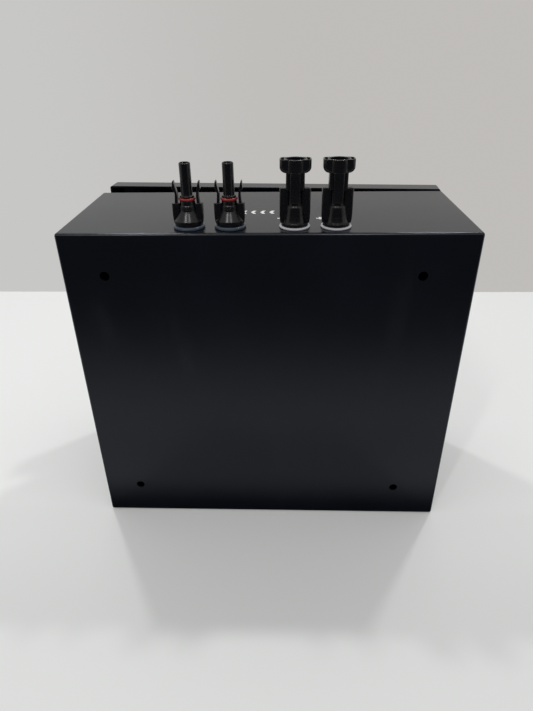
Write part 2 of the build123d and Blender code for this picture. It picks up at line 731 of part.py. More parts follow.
# String fuse holders: the pocket for the swinging carrier is turned about the carrier's pivot
pivot_y = rail_front - pivot_depth
pivot_z = -pivot_drop
fuse_y = rail_front - fuse_depth
fuse_bottom = fuse_rise - fuse_length / 2
fuse_top = fuse_rise + fuse_length / 2
saddle_top = fuse_top + saddle_clearance + saddle_wall
saddle_bottom = fuse_bottom - saddle_clearance - saddle_wall
saddle_back = fuse_y + saddle_reach
carrier_sweep = hypot(saddle_back - pivot_y, saddle_top - pivot_z)
carrier_foot = pivot_y - nose_y + carrier_front
pocket_half = module_width / 2 - cheek_thickness
carrier_half = pocket_half - carrier_clearance
pocket_y = rail_front - pocket_back
for number, x in enumerate(fuse_places, start=1):
    with BuildPart() as fuse_holder:
        extrude(
            rail_outline(module_height, shoulder_depth, fuse_nose_height).moved(Location((x, 0, 0))),
            module_width / 2,
            both=True,
        )
        with BuildSketch(Plane.YZ.offset(x)):
            with Locations((pivot_y, pivot_z)):
                Circle(carrier_sweep + carrier_clearance)
            span(
                nose_y - carrier_clearance,
                pocket_y,
                saddle_bottom - carrier_clearance,
                fuse_nose_height,
                mode=Mode.INTERSECT,
            )
            with Locations((pivot_y, pivot_z)):
                Circle(carrier_foot + carrier_clearance)
            span(nose_y - carrier_clearance, pivot_y, pivot_z - carrier_foot, saddle_bottom)
        extrude(amount=pocket_half, both=True, mode=Mode.SUBTRACT)
        with BuildSketch(Plane.YZ.offset(x)):
            with Locations((pivot_y, pivot_z)):
                Circle(pivot_diameter / 2 + pivot_running)
        extrude(amount=carrier_half + pivot_length + pivot_running, both=True, mode=Mode.SUBTRACT)
        add(terminal_tunnels([x]), mode=Mode.SUBTRACT)
    fuse_holder.part.label = f"fuse_holder_{number}"
    export_step(fuse_holder.part, f"parts/fuse_holder_{number}.step")

    with BuildPart() as fuse_carrier:
        with BuildSketch(Plane.YZ.offset(x)):
            with Locations((pivot_y, pivot_z)):
                Circle(carrier_sweep)
            span(nose_y - carrier_front, fuse_y, saddle_bottom, saddle_top, mode=Mode.INTERSECT)
            with Locations((pivot_y, pivot_z)):
                Circle(carrier_foot)
            span(nose_y - carrier_front, pivot_y, pivot_z, saddle_bottom)
            grip_z = saddle_top - 2 * grip_height
            span(nose_y - carrier_front - grip_reach, nose_y, grip_z, grip_z + grip_height)
        extrude(amount=carrier_half, both=True)
        with BuildSketch(Plane.YZ.offset(x)):
            span(fuse_y, saddle_back, fuse_top + saddle_clearance, saddle_top)
            span(fuse_y, saddle_back, saddle_bottom, fuse_bottom - saddle_clearance)
        extrude(amount=saddle_half_width, both=True)
        with BuildSketch(Plane.XY.offset(fuse_bottom - saddle_clearance)):
            with Locations((x, fuse_y)):
                Circle(fuse_diameter / 2 + saddle_clearance)
        extrude(amount=fuse_length + 2 * saddle_clearance, mode=Mode.SUBTRACT)
        with BuildSketch(Plane.YZ.offset(x)):
            with Locations((pivot_y, pivot_z)):
                Circle(pivot_diameter / 2)
        extrude(amount=carrier_half + pivot_length, both=True)
    fuse_carrier.part.label = f"fuse_carrier_{number}"
    export_step(fuse_carrier.part, f"parts/fuse_carrier_{number}.step")

    with BuildPart() as fuse:
        with BuildSketch(Plane.XY.offset(fuse_bottom)):
            with Locations((x, fuse_y)):
                Circle(fuse_barrel_diameter / 2)
        extrude(amount=fuse_length)
        with BuildSketch(Plane.XY.offset(fuse_bottom), Plane.XY.offset(fuse_top - ferrule_length)):
            with Locations((x, fuse_y)):
                Circle(fuse_diameter / 2)
        extrude(amount=ferrule_length)
    fuse.part.label = f"fuse_{number}"
    export_step(fuse.part, f"parts/fuse_{number}.step")

# Contact clips that grip the fuse ferrules from behind
clip_inner = fuse_diameter / 2 + clip_clearance
clip_front = fuse_y + clip_setback
with BuildPart() as fuse_clips:
    for z in (fuse_bottom + clip_inset, fuse_top - clip_inset):
        with BuildSketch(Plane.XY.offset(z)):
            for x in fuse_places:
                with Locations((x, 0)):
                    span(-clip_inner - clip_sheet, clip_inner + clip_sheet, clip_front, pocket_y)
                    span(-clip_inner, clip_inner, clip_front, pocket_y - clip_sheet, mode=Mode.SUBTRACT)
        extrude(amount=clip_height / 2, both=True)
fuse_clips.part.label = "fuse_clips"
export_step(fuse_clips.part, "parts/fuse_clips.step")

# Two-pole breaker with one ganged toggle
toggle_y = rail_front - toggle_pivot_depth
drum_radius = toggle_drum_diameter / 2
with BuildPart() as breaker_body:
    extrude(
        rail_outline(module_height, shoulder_depth, nose_height).moved(Location((breaker_x, 0, 0))),
        (module_pitch + module_width) / 2,
        both=True,
    )
    with BuildSketch(Plane.YZ.offset(breaker_x)):
        with Locations((toggle_y, 0)):
            Circle(drum_radius + toggle_clearance)
        span(nose_y, toggle_y, -drum_radius - toggle_clearance, drum_radius + toggle_clearance)
    extrude(amount=toggle_width / 2 + toggle_clearance, both=True, mode=Mode.SUBTRACT)
    with BuildSketch(Plane.YZ.offset(breaker_x)):
        with Locations((toggle_y, 0)):
            Circle(toggle_axle_diameter / 2 + pivot_running)
    extrude(amount=toggle_width / 2 + toggle_axle_length + toggle_clearance, both=True, mode=Mode.SUBTRACT)
    add(terminal_tunnels(pole_places), mode=Mode.SUBTRACT)
breaker_body.part.label = "breaker_body"
export_step(breaker_body.part, "parts/breaker_body.step")

toggle_frame = Plane(
    origin=(breaker_x, toggle_y, 0),
    x_dir=(0, -cos(radians(toggle_off_angle)), -sin(radians(toggle_off_angle))),
    z_dir=(1, 0, 0),
)
with BuildPart() as breaker_toggle:
    with BuildSketch(toggle_frame):
        Circle(drum_radius)
        with BuildLine():
            Polyline(
                (0, toggle_root / 2),
                (toggle_reach, toggle_tip / 2),
                (toggle_reach, -toggle_tip / 2),
                (0, -toggle_root / 2),
                close=True,
            )
        make_face()
    extrude(amount=toggle_width / 2, both=True)
    with BuildSketch(toggle_frame):
        Circle(toggle_axle_diameter / 2)
    extrude(amount=toggle_width / 2 + toggle_axle_length, both=True)
breaker_toggle.part.label = "breaker_toggle"
export_step(breaker_toggle.part, "parts/breaker_toggle.step")

# Surge protector: a base with three plug-in cartridges that slide out towards the door
cartridge_y = rail_front - cartridge_back
cartridge_width = module_pitch - cartridge_play
blade_rise = cartridge_height / 4
with BuildPart() as surge_base:
    extrude(
        rail_outline(module_height, shoulder_depth).moved(Location((surge_x, 0, 0))),
        module_pitch + module_width / 2,
        both=True,
    )
    with BuildSketch(Plane.YZ.offset(surge_x)):
        half = cartridge_height / 2 + cartridge_clearance
        span(shoulder_y, cartridge_y + cartridge_clearance, -half, half)
    extrude(amount=2 * module_pitch, both=True, mode=Mode.SUBTRACT)
    with BuildSketch(facing(cartridge_y + cartridge_clearance)):
        with Locations(*[(x, side * blade_rise) for x in surge_places for side in (-1, 1)]):
            Rectangle(
                blade_thickness + 2 * cartridge_clearance, blade_height + 2 * cartridge_clearance
            )
    extrude(amount=-blade_length, mode=Mode.SUBTRACT)
    add(terminal_tunnels(surge_places), mode=Mode.SUBTRACT)
surge_base.part.label = "surge_base"
export_step(surge_base.part, "parts/surge_base.step")

for pole, x in zip(("positive", "earth", "negative"), surge_places):
    with BuildPart() as surge_cartridge:
        with BuildSketch(Plane.YZ.offset(x)) as side_view:
            span(nose_y, cartridge_y, -cartridge_height / 2, cartridge_height / 2)
            fillet(side_view.vertices().group_by(Axis.Y)[0], module_round)
            for rib in range(cartridge_grip_count):
                rib_z = cartridge_height / 2 - (2 + 2 * rib) * cartridge_grip
                span(nose_y - cartridge_grip, nose_y, rib_z - cartridge_grip / 2, rib_z + cartridge_grip / 2)
        extrude(amount=cartridge_width / 2, both=True)
        with BuildSketch(facing(cartridge_y)):
            with Locations((x, -blade_rise), (x, blade_rise)):
                Rectangle(blade_thickness, blade_height)
        extrude(amount=-blade_length)
    surge_cartridge.part.label = f"surge_cartridge_{pole}"
    export_step(surge_cartridge.part, f"parts/surge_cartridge_{pole}.step")

# Earth terminal beside the surge protector
with BuildPart() as earth_terminal:
    extrude(
        rail_outline(module_height, shoulder_depth).moved(Location((earth_x, 0, 0))),
        (earth_width - module_play) / 2,
        both=True,
    )
    add(terminal_tunnels([earth_x]), mode=Mode.SUBTRACT)
earth_terminal.part.label = "earth_terminal"
export_step(earth_terminal.part, "parts/earth_terminal.step")

# End stops clamped on the rail at both ends of the row of modules
stop_places = {
    "left": earth_x - (earth_width + stop_width) / 2,
    "right": breaker_x + module_pitch + stop_width / 2,
}
for place, x in stop_places.items():
    with BuildPart() as end_stop:
        extrude(
            rail_outline(stop_height, stop_depth).moved(Location((x, 0, 0))),
            (stop_width - module_play) / 2,
            both=True,
        )
        with BuildSketch(facing(rail_front - stop_depth)):
            with Locations((x, 0)):
                Circle(screw_tunnel_diameter / 2)
        extrude(amount=-screw_tunnel_depth, mode=Mode.SUBTRACT)
    end_stop.part.label = f"end_stop_{place}"
    export_step(end_stop.part, f"parts/end_stop_{place}.step")

# Slotted clamping screws of all terminals
with BuildPart() as terminal_screws:
    screw_places = [(x, side * terminal_z) for x in terminal_places for side in (-1, 1)]
    with BuildSketch(facing(screw_seat_y)):
        with Locations(*screw_places):
            Circle(screw_head_diameter / 2)
    extrude(amount=screw_head_height)
    with BuildSketch(facing(screw_seat_y - screw_head_height / 2)):
        with Locations(*screw_places):
            Rectangle(screw_head_diameter, screw_slot)
    extrude(amount=screw_head_height / 2, mode=Mode.SUBTRACT)
    with BuildSketch(facing(wire_y - lead_diameter / 2 - screw_tip_clearance)):
        with Locations(*screw_places):
            Circle(screw_shank_diameter / 2)
    extrude(amount=wire_y - lead_diameter / 2 - screw_tip_clearance - screw_seat_y)
terminal_screws.part.label = "terminal_screws"
export_step(terminal_screws.part, "parts/terminal_screws.step")

# Comb busbars under the modules: each joins two fuses, one breaker pole and one surge terminal
comb_front = wire_y - lead_diameter / 2
comb_ceiling = -module_height / 2
pin_top = comb_ceiling + comb_pin_entry
low_bar_top = comb_ceiling - comb_drop
high_bar_top = low_bar_top + comb_step
negative_places = [surge_places[2], fuse_places[0], fuse_places[1], pole_places[0]]
positive_places = [surge_places[0], fuse_places[2], fuse_places[3], pole_places[1]]
with BuildPart() as comb_busbar_negative:
    with BuildSketch(facing(comb_front + comb_thickness)):
        ends = comb_pin_width / 2
        span(
            min(negative_places) - ends,
            max(negative_places) + ends,
            low_bar_top - comb_height,
            low_bar_top,
        )
        for x in negative_places:
            span(x - ends, x + ends, low_bar_top, pin_top)
    extrude(amount=comb_thickness)
comb_busbar_negative.part.label = "comb_busbar_negative"
export_step(comb_busbar_negative.part, "parts/comb_busbar_negative.step")

with BuildPart() as comb_busbar_positive:
    with BuildSketch(facing(comb_front + comb_thickness + comb_spread)):
        span(
            min(positive_places) - ends,
            max(positive_places) + ends,
            high_bar_top - comb_height,
            high_bar_top,
        )
    extrude(amount=comb_thickness)
    for x in positive_places:
        with BuildSketch(Plane.YZ.offset(x)):
            span(
                comb_front,
                comb_front + comb_thickness + comb_spread,
                high_bar_top - comb_thickness,
                high_bar_top,
            )
            span(comb_front, comb_front + comb_thickness, high_bar_top - comb_thickness, pin_top)
        extrude(amount=comb_pin_width / 2, both=True)
comb_busbar_positive.part.label = "comb_busbar_positive"
export_step(comb_busbar_positive.part, "parts/comb_busbar_positive.step")


def lead_route(start, end, start_straight, end_straight, end_side):
    """Corner points and arc radii of a route that leaves both of its ends along Z.

    end_side is +1 where the route comes down onto its end, and -1 where it comes up to it.
    """
    first = Vector(*start) - Vector(0, 0, start_straight)
    last = Vector(*end) + Vector(0, 0, end_side * end_straight)
    across = hypot(last.X - first.X, last.Y - first.Y)
    drop = first.Z - last.Z
    tangent = (across**2 + drop**2) / (4 * drop) if end_side > 0 else across / 2
    low = max(-drop, 0) + tangent if end_side < 0 else tangent
    second = first - Vector(0, 0, drop + low if end_side < 0 else tangent)
    third = last + Vector(0, 0, end_side * low)
    half_turn = (third - second).get_angle(Vector(0, 0, -1)) / 2
    radius = lead_arc_share * tangent / tan(radians(half_turn))
    return [Vector(*start), second, third, Vector(*end)], radius


# Fixed leads, held at both ends: straight runs joined by tangent arcs
lead_top = box_top - stub_length - crimp_length
lead_end = module_height / 2 - wire_mouth_depth + lead_inset
with BuildPart() as input_leads:
    for x, fuse_x in zip(sorted(connector_places), fuse_places):
        points, radius = lead_route(
            (x, -connector_depth, lead_top), (fuse_x, wire_y, lead_end), lead_straight, wire_mouth_depth, 1
        )
        with BuildLine():
            FilletPolyline(*points, radius=radius)
        with BuildSketch(Plane.XY.offset(lead_top)):
            with Locations((x, -connector_depth)):
                Circle(lead_diameter / 2)
        sweep()
input_leads.part.label = "input_leads"
export_step(input_leads.part, "parts/input_leads.step")

points, radius = lead_route(
    (surge_places[1], wire_y, -lead_end), (earth_x, wire_y, -lead_end), wire_mouth_depth, wire_mouth_depth, -1
)
with BuildPart() as earth_lead:
    with BuildLine():
        FilletPolyline(*points, radius=radius)
    with BuildSketch(Plane.XY.offset(-lead_end)):
        with Locations((surge_places[1], wire_y)):
            Circle(lead_diameter / 2)
    sweep()
earth_lead.part.label = "earth_lead"
export_step(earth_lead.part, "parts/earth_lead.step")

# Round base shared by both connector types: threaded stub under the panel and a flat foot on the seal
foot_height = seal_thickness + foot_rise
contact_radius = contact_diameter / 2
bore_radius = contact_radius + contact_clearance
stub_radius = stub_diameter / 2
wing_radius = housing_diameter / 2
tube_radius = tube_diameter / 2


def wing_ring(x, low, high):
    """Two curved wings, one on each side of a connector's core, with a rib joining each to the core."""
    with BuildPart() as wings:
        with BuildSketch(connector_level(x, low)):
            Circle(wing_radius)
            Circle(wing_radius - wing_thickness, mode=Mode.SUBTRACT)
            Rectangle(housing_diameter, 2 * wing_half_span, mode=Mode.INTERSECT)
            Rectangle(neck_width, housing_diameter, mode=Mode.SUBTRACT)
            span(tube_radius, wing_radius - wing_thickness / 2, -arm_thickness / 2, arm_thickness / 2)
            span(wing_thickness / 2 - wing_radius, -tube_radius, -arm_thickness / 2, arm_thickness / 2)
        extrude(amount=high - low)
    return wings.part


# Socket-type connectors: central tube, O-ring groove, conical skirt, wings and two barbed arms
ring_radius = (ring_diameter - ring_section) / 2
groove_radius = ring_radius - ring_section / 2 - groove_clearance
skirt_radius = skirt_diameter / 2
for number, x in enumerate(socket_places, start=1):
    with BuildPart() as socket_housing:
        with BuildSketch(connector_section(x)):
            with BuildLine():
                Polyline(
                    (bore_radius, -stub_length),
                    (stub_radius, -stub_length),
                    (stub_radius, seal_thickness),
                    (skirt_radius, seal_thickness),
                    (skirt_radius + skirt_flare, foot_height),
                    (skirt_radius + skirt_flare, cone_bottom),
                    (tube_radius + cone_wall, cone_top),
                    (tube_radius + neck_wall, neck_top),
                    (tube_radius + throat_wall, throat_bottom),
                    (tube_radius + ring_land, ring_height - ring_section / 2),
                    (groove_radius, ring_height - ring_section / 2),
                    (groove_radius, ring_height + ring_section / 2),
                    (tube_radius + ring_lip, ring_height + ring_section / 2),
                    (tube_radius + tube_shoulder, tube_base),
                    (tube_radius, tube_base),
                    (tube_radius, tube_top - tube_chamfer),
                    (tube_radius - tube_chamfer, tube_top),
                    (bore_radius, tube_top),
                    close=True,
                )
            make_face()
        revolve(axis=Axis((x, -connector_depth, 0), (0, 0, 1)))
        add(wing_ring(x, foot_height, wing_top))
        with BuildSketch(connector_section(x)):
            for side in (-1, 1):
                with BuildLine():
                    Polyline(
                        (side * neck_width / 2, wing_top - crown_drop),
                        (side * (wing_radius - crown_edge), wing_top - crown_slope),
                        (side * wing_radius, wing_top),
                        (side * neck_width / 2, wing_top),
                        close=True,
                    )
                make_face()
        extrude(amount=wing_radius, both=True, mode=Mode.SUBTRACT)
        with BuildSketch(connector_section(x)):
            for side in (-1, 1):
                corners = [(side * (wing_radius - inset), arm_top - drop) for inset, drop in arm_outline]
                with BuildLine():
                    Polyline(*corners, close=True)
                make_face()
        extrude(amount=arm_thickness / 2, both=True)
    socket_housing.part.label = f"socket_housing_{number}"
    export_step(socket_housing.part, f"parts/socket_housing_{number}.step")

    with BuildPart() as socket_ring:
        with BuildSketch(connector_section(x)):
            with Locations((ring_radius, ring_height)):
                Circle(ring_section / 2)
        revolve(axis=Axis((x, -connector_depth, 0), (0, 0, 1)))
    socket_ring.part.label = f"socket_ring_{number}"
    export_step(socket_ring.part, f"parts/socket_ring_{number}.step")

    with BuildPart() as socket_contact:
        with BuildSketch(connector_level(x, -stub_length - crimp_length)):
            Circle(contact_radius)
        extrude(amount=stub_length + crimp_length + tube_top - contact_recess)
        with BuildSketch(connector_level(x, tube_top - contact_recess)):
            Circle(contact_pin_diameter / 2 + contact_clearance)
        extrude(amount=tube_base - tube_top, mode=Mode.SUBTRACT)
    socket_contact.part.label = f"socket_contact_{number}"
    export_step(socket_contact.part, f"parts/socket_contact_{number}.step")

# Plug-type connectors: T-shaped collar with a wide mouth, ribbed neck, shouldered wings and a bell
core_radius = core_diameter / 2
mouth_radius = mouth_diameter / 2
mating_radius = tube_radius + mating_clearance
mating_floor = collar_top - (tube_top - tube_base) - mating_allowance
for number, x in enumerate(plug_places, start=1):
    with BuildPart() as plug_housing:
        with BuildSketch(connector_level(x, collar_bottom)):
            RectangleRounded(housing_diameter, collar_depth, collar_depth / 3)
            Circle(collar_boss_diameter / 2)
        extrude(amount=collar_top - collar_bottom)
        with BuildSketch(connector_section(x)) as collar_outline:
            span(-wing_radius, wing_radius, collar_bottom, collar_top)
            fillet(collar_outline.vertices().group_by(Axis.Y)[0], collar_round)
        extrude(amount=collar_boss_diameter, both=True, mode=Mode.INTERSECT)
        with BuildSketch(connector_level(x, shoulder_height - neck_sink)):
            RectangleRounded(neck_width, neck_depth, neck_depth / 4)
        extrude(amount=collar_bottom - shoulder_height + neck_sink)
        with BuildSketch(connector_level(x, strip_bottom)):
            Rectangle(strip_width, 2 * strip_reach)
        extrude(amount=collar_bottom - strip_bottom)
        with BuildSketch(connector_section(x)):
            with BuildLine():
                Polyline(
                    (0, -stub_length),
                    (stub_radius, -stub_length),
                    (stub_radius, seal_thickness),
                    (skirt_radius, seal_thickness),
                    (skirt_radius, foot_height),
                    *[(core_radius + wall, strip_bottom - drop) for wall, drop in bell_outline],
                    (core_radius, collar_bottom),
                    (0, collar_bottom),
                    close=True,
                )
            make_face()
        revolve(axis=Axis((x, -connector_depth, 0), (0, 0, 1)))
        add(wing_ring(x, foot_height, shoulder_height))
        with BuildSketch(connector_section(x)):
            with BuildLine():
                Polyline(
                    (skirt_radius, foot_height),
                    (wing_radius, foot_height + wing_flare),
                    (wing_radius, foot_height),
                    close=True,
                )
            make_face()
            with BuildLine():
                Polyline(
                    (wing_radius - shoulder_chamfer, shoulder_height),
                    (wing_radius, shoulder_height - shoulder_chamfer),
                    (wing_radius, shoulder_height),
                    close=True,
                )
            make_face()
        revolve(axis=Axis((x, -connector_depth, 0), (0, 0, 1)), mode=Mode.SUBTRACT)
        with BuildSketch(connector_level(x, collar_top)):
            Circle(mouth_radius)
        extrude(amount=-mouth_depth, mode=Mode.SUBTRACT)
        with BuildSketch(connector_level(x, collar_top)):
            with Locations((mouth_radius + slot_width, 0), (-mouth_radius - slot_width, 0)):
                Rectangle(slot_width, slot_length)
        extrude(amount=-slot_depth, mode=Mode.SUBTRACT)
        with BuildSketch(connector_level(x, mating_floor)):
            Circle(mating_radius)
        extrude(amount=collar_top - mating_floor, mode=Mode.SUBTRACT)
        with BuildSketch(connector_level(x, -stub_length)):
            Circle(bore_radius)
        extrude(amount=stub_length + mating_floor, mode=Mode.SUBTRACT)
    plug_housing.part.label = f"plug_housing_{number}"
    export_step(plug_housing.part, f"parts/plug_housing_{number}.step")

    with BuildPart() as plug_contact:
        with BuildSketch(connector_level(x, -stub_length - crimp_length)):
            Circle(contact_radius)
        extrude(amount=stub_length + crimp_length + mating_floor)
        with BuildSketch(connector_level(x, mating_floor)):
            Circle(contact_pin_diameter / 2)
        extrude(amount=collar_top - mouth_depth - mating_floor - contact_tip)
        chamfer(plug_contact.faces().sort_by(Axis.Z)[-1].edges(), contact_pin_diameter / 5)
    plug_contact.part.label = f"plug_contact_{number}"
    export_step(plug_contact.part, f"parts/plug_contact_{number}.step")

# Seal rings and lock nuts of the panel connectors
for kind, places in {"socket": socket_places, "plug": plug_places}.items():
    for number, x in enumerate(places, start=1):
        with BuildPart() as connector_seal:
            with BuildSketch(connector_level(x, 0)):
                Circle(seal_diameter / 2)
                Circle(stub_radius + contact_clearance, mode=Mode.SUBTRACT)
            extrude(amount=seal_thickness)
            fillet(connector_seal.faces().sort_by(Axis.Z)[-1].edges().sort_by(SortBy.RADIUS)[-1], seal_round)
        connector_seal.part.label = f"{kind}_seal_{number}"
        export_step(connector_seal.part, f"parts/{kind}_seal_{number}.step")

with BuildPart() as connector_nuts:
    for x in connector_places:
        with BuildSketch(connector_level(x, -sheet)):
            RegularPolygon(connector_nut_across / 2, 6, major_radius=False)
            Circle(stub_radius + contact_clearance, mode=Mode.SUBTRACT)
        extrude(amount=-connector_nut_thickness)
connector_nuts.part.label = "connector_nuts"
export_step(connector_nuts.part, "parts/connector_nuts.step")
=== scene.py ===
"""Looks of the solar combiner box: finishes, seals, foam, panel connectors, marks, room and camera.

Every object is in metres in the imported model's frame: +Y leaves the back of the box towards the
camera, and +Z points up through the connectors. Sizes in this script are in millimetres, apart from
the room's, and each mesh is built in millimetres and scaled once.
"""

import logging
import math
from dataclasses import dataclass
from enum import Enum
from typing import Optional, Sequence, Union

import bmesh
import bpy
from mathutils import Euler, Matrix, Vector

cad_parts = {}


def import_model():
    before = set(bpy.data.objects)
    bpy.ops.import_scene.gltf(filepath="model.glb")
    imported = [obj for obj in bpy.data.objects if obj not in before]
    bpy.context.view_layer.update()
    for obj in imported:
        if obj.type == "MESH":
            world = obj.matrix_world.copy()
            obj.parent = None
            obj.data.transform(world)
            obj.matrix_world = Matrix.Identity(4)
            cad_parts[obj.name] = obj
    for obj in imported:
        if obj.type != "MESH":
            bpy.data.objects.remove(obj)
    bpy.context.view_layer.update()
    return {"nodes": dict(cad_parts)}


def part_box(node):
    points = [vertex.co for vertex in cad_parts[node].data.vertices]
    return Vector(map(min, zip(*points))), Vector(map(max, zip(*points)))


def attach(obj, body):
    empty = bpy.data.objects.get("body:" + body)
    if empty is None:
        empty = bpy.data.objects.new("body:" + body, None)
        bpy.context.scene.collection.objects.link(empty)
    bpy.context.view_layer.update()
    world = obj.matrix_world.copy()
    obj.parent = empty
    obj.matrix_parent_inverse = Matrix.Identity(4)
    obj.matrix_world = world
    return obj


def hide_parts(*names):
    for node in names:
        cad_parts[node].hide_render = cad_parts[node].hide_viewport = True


LOG = logging.getLogger("combiner_box")
MM = 0.001
NODE_CREASE = math.radians(32)
PIECE_CREASE = math.radians(38)
MERGE_DISTANCE = 0.0005

Colour = tuple[float, float, float]
Point = tuple[float, float]
Spot = tuple[float, float, float]
Amount = Union[float, "Signal"]


class Signal:
    """A varying number in a material: Python's operators on it add Math nodes."""

    def __init__(self, board: "Board", socket: bpy.types.NodeSocket) -> None:
        """Wrap an output socket.

        Args:
            board: The material that the socket belongs to.
            socket: The output that carries the number.
        """
        self.board = board
        self.socket = socket

    def _math(self, operation: str, *operands: Amount) -> "Signal":
        """Add one Math node.

        Args:
            operation: Blender's name of the operation.
            operands: What its inputs take, in order.

        Returns:
            The node's result.
        """
        node = self.board.add("ShaderNodeMath", {"operation": operation}, dict(enumerate(operands)))
        return Signal(self.board, node.outputs[0])

    def __add__(self, other: Amount) -> "Signal":
        """Return self + other."""
        return self._math("ADD", self, other)

    def __radd__(self, other: Amount) -> "Signal":
        """Return other + self."""
        return self._math("ADD", other, self)

    def __sub__(self, other: Amount) -> "Signal":
        """Return self - other."""
        return self._math("SUBTRACT", self, other)

    def __rsub__(self, other: Amount) -> "Signal":
        """Return other - self."""
        return self._math("SUBTRACT", other, self)

    def __mul__(self, other: Amount) -> "Signal":
        """Return self * other."""
        return self._math("MULTIPLY", self, other)

    def __rmul__(self, other: Amount) -> "Signal":
        """Return other * self."""
        return self._math("MULTIPLY", other, self)

    def __abs__(self) -> "Signal":
        """Return the size of self without its sign."""
        return self._math("ABSOLUTE", self)

    def step(self, low: float, high: float) -> "Signal":
        """Rise smoothly from 0 at low to 1 at high.

        Args:
            low: Where the result is 0.
            high: Where the result is 1.

        Returns:
            The smoothed step.
        """
        node = self.board.add(
            "ShaderNodeMapRange", {"interpolation_type": "SMOOTHSTEP"}, {0: self, 1: low, 2: high}
        )
        return Signal(self.board, node.outputs[0])


class Board:
    """A tree of nodes: the world's, or a material's."""

    def __init__(self, tree: bpy.types.NodeTree) -> None:
        """Work on a tree that exists."""
        self.tree = tree

    def add(
        self,
        kind: str,
        settings: Optional[dict[str, object]] = None,
        inputs: Optional[dict[Union[int, str], object]] = None,
    ) -> bpy.types.ShaderNode:
        """Add any node.

        Args:
            kind: The node's type.
            settings: Its own settings, such as an operation.
            inputs: Values or links of its sockets, by name or number.

        Returns:
            The new node.
        """
        node = self.tree.nodes.new(kind)
        for name, value in (settings or {}).items():
            setattr(node, name, value)
        for name, value in (inputs or {}).items():
            self.plug(value, node.inputs[name])
        return node

    def plug(self, value: object, socket: bpy.types.NodeSocket) -> None:
        """Link a varying value to an input, or set a plain one on it.

        Args:
            value: A Signal, an output socket or a plain value.
            socket: The input.
        """
        if isinstance(value, Signal):
            self.tree.links.new(value.socket, socket)
        elif isinstance(value, bpy.types.NodeSocket):
            self.tree.links.new(value, socket)
        elif socket.type == "RGBA":
            socket.default_value = (*value, 1.0)
        else:
            socket.default_value = value

    def seen(self) -> Signal:
        """Return 1 for what the camera, a gloss or clear glass shows, and 0 for other light."""
        path = self.add("ShaderNodeLightPath")
        rays = ("Is Camera Ray", "Is Glossy Ray", "Is Transmission Ray")
        camera, gloss, glass = (Signal(self, path.outputs[ray]) for ray in rays)
        return camera + gloss + glass


class PaintBoard(Board):
    """The nodes of one material round its main shader."""

    def __init__(self, name: str, constants: dict[str, object]) -> None:
        """Start a material.

        Args:
            name: The material's name.
            constants: Values that are the same all over, by the shader's socket names.
        """
        self.material = bpy.data.materials.new(name)
        self.material.use_nodes = True
        super().__init__(self.material.node_tree)
        self.shader = self.tree.nodes["Principled BSDF"]
        for socket, value in constants.items():
            self.shader.inputs[socket].default_value = value
        self.place = self.add("ShaderNodeTexCoord").outputs["Object"]

    def feed(self, socket: str, value: object) -> None:
        """Give the main shader a varying value by its socket's name."""
        self.plug(value, self.shader.inputs[socket])

    def axes(self) -> tuple[Signal, Signal, Signal]:
        """Return the place in the object's own space as three numbers, in metres."""
        node = self.add("ShaderNodeSeparateXYZ", inputs={0: self.place})
        return tuple(Signal(self, output) for output in node.outputs)

    def cloud(self, size: float, detail: float = 2.0, stretch: Spot = (1.0, 1.0, 1.0)) -> Signal:
        """Smooth noise between 0 and 1.

        Args:
            size: Width of one patch in millimetres.
            detail: Number of finer layers.
            stretch: How many times longer a patch is along each axis.

        Returns:
            The noise.
        """
        scale = tuple(1 / value for value in stretch)
        place = self.add("ShaderNodeMapping", inputs={"Vector": self.place, "Scale": scale})
        noise = self.add(
            "ShaderNodeTexNoise",
            inputs={"Vector": place.outputs[0], "Scale": 1 / (size * MM), "Detail": detail},
        )
        return Signal(self, noise.outputs[0])

    def pores(self, size: float) -> Signal:
        """Return small cells, 0 in each cell's middle, for a cell size in millimetres."""
        node = self.add(
            "ShaderNodeTexVoronoi", inputs={"Vector": self.place, "Scale": 1 / (size * MM)}
        )
        return Signal(self, node.outputs["Distance"])

    def tint(self, share: Amount, first: object, second: object) -> bpy.types.NodeSocket:
        """Mix two colours.

        Args:
            share: How much of the second one shows.
            first: Colour or link where share is 0.
            second: Colour or link where share is 1.

        Returns:
            The mixed colour.
        """
        node = self.add("ShaderNodeMix", {"data_type": "RGBA"}, {0: share, 6: first, 7: second})
        return node.outputs[2]

    def coat(
        self, colour: bpy.types.NodeSocket, roughness: Signal, height: Signal, depth: float
    ) -> bpy.types.Material:
        """Feed the main shader what varies on every finish.

        Args:
            colour: The mixed colour.
            roughness: The varying roughness.
            height: Varying height between 0 and 1.
            depth: Full depth of the relief in millimetres.

        Returns:
            The material.
        """
        self.feed("Base Color", colour)
        self.feed("Roughness", roughness)
        bump = self.add("ShaderNodeBump", inputs={"Distance": depth * MM, "Height": height})
        self.feed("Normal", bump.outputs[0])
        return self.material


def shade(colour: Colour, factor: float) -> Colour:
    """Return a colour made lighter or darker by a factor."""
    return tuple(min(1.0, channel * factor) for channel in colour)


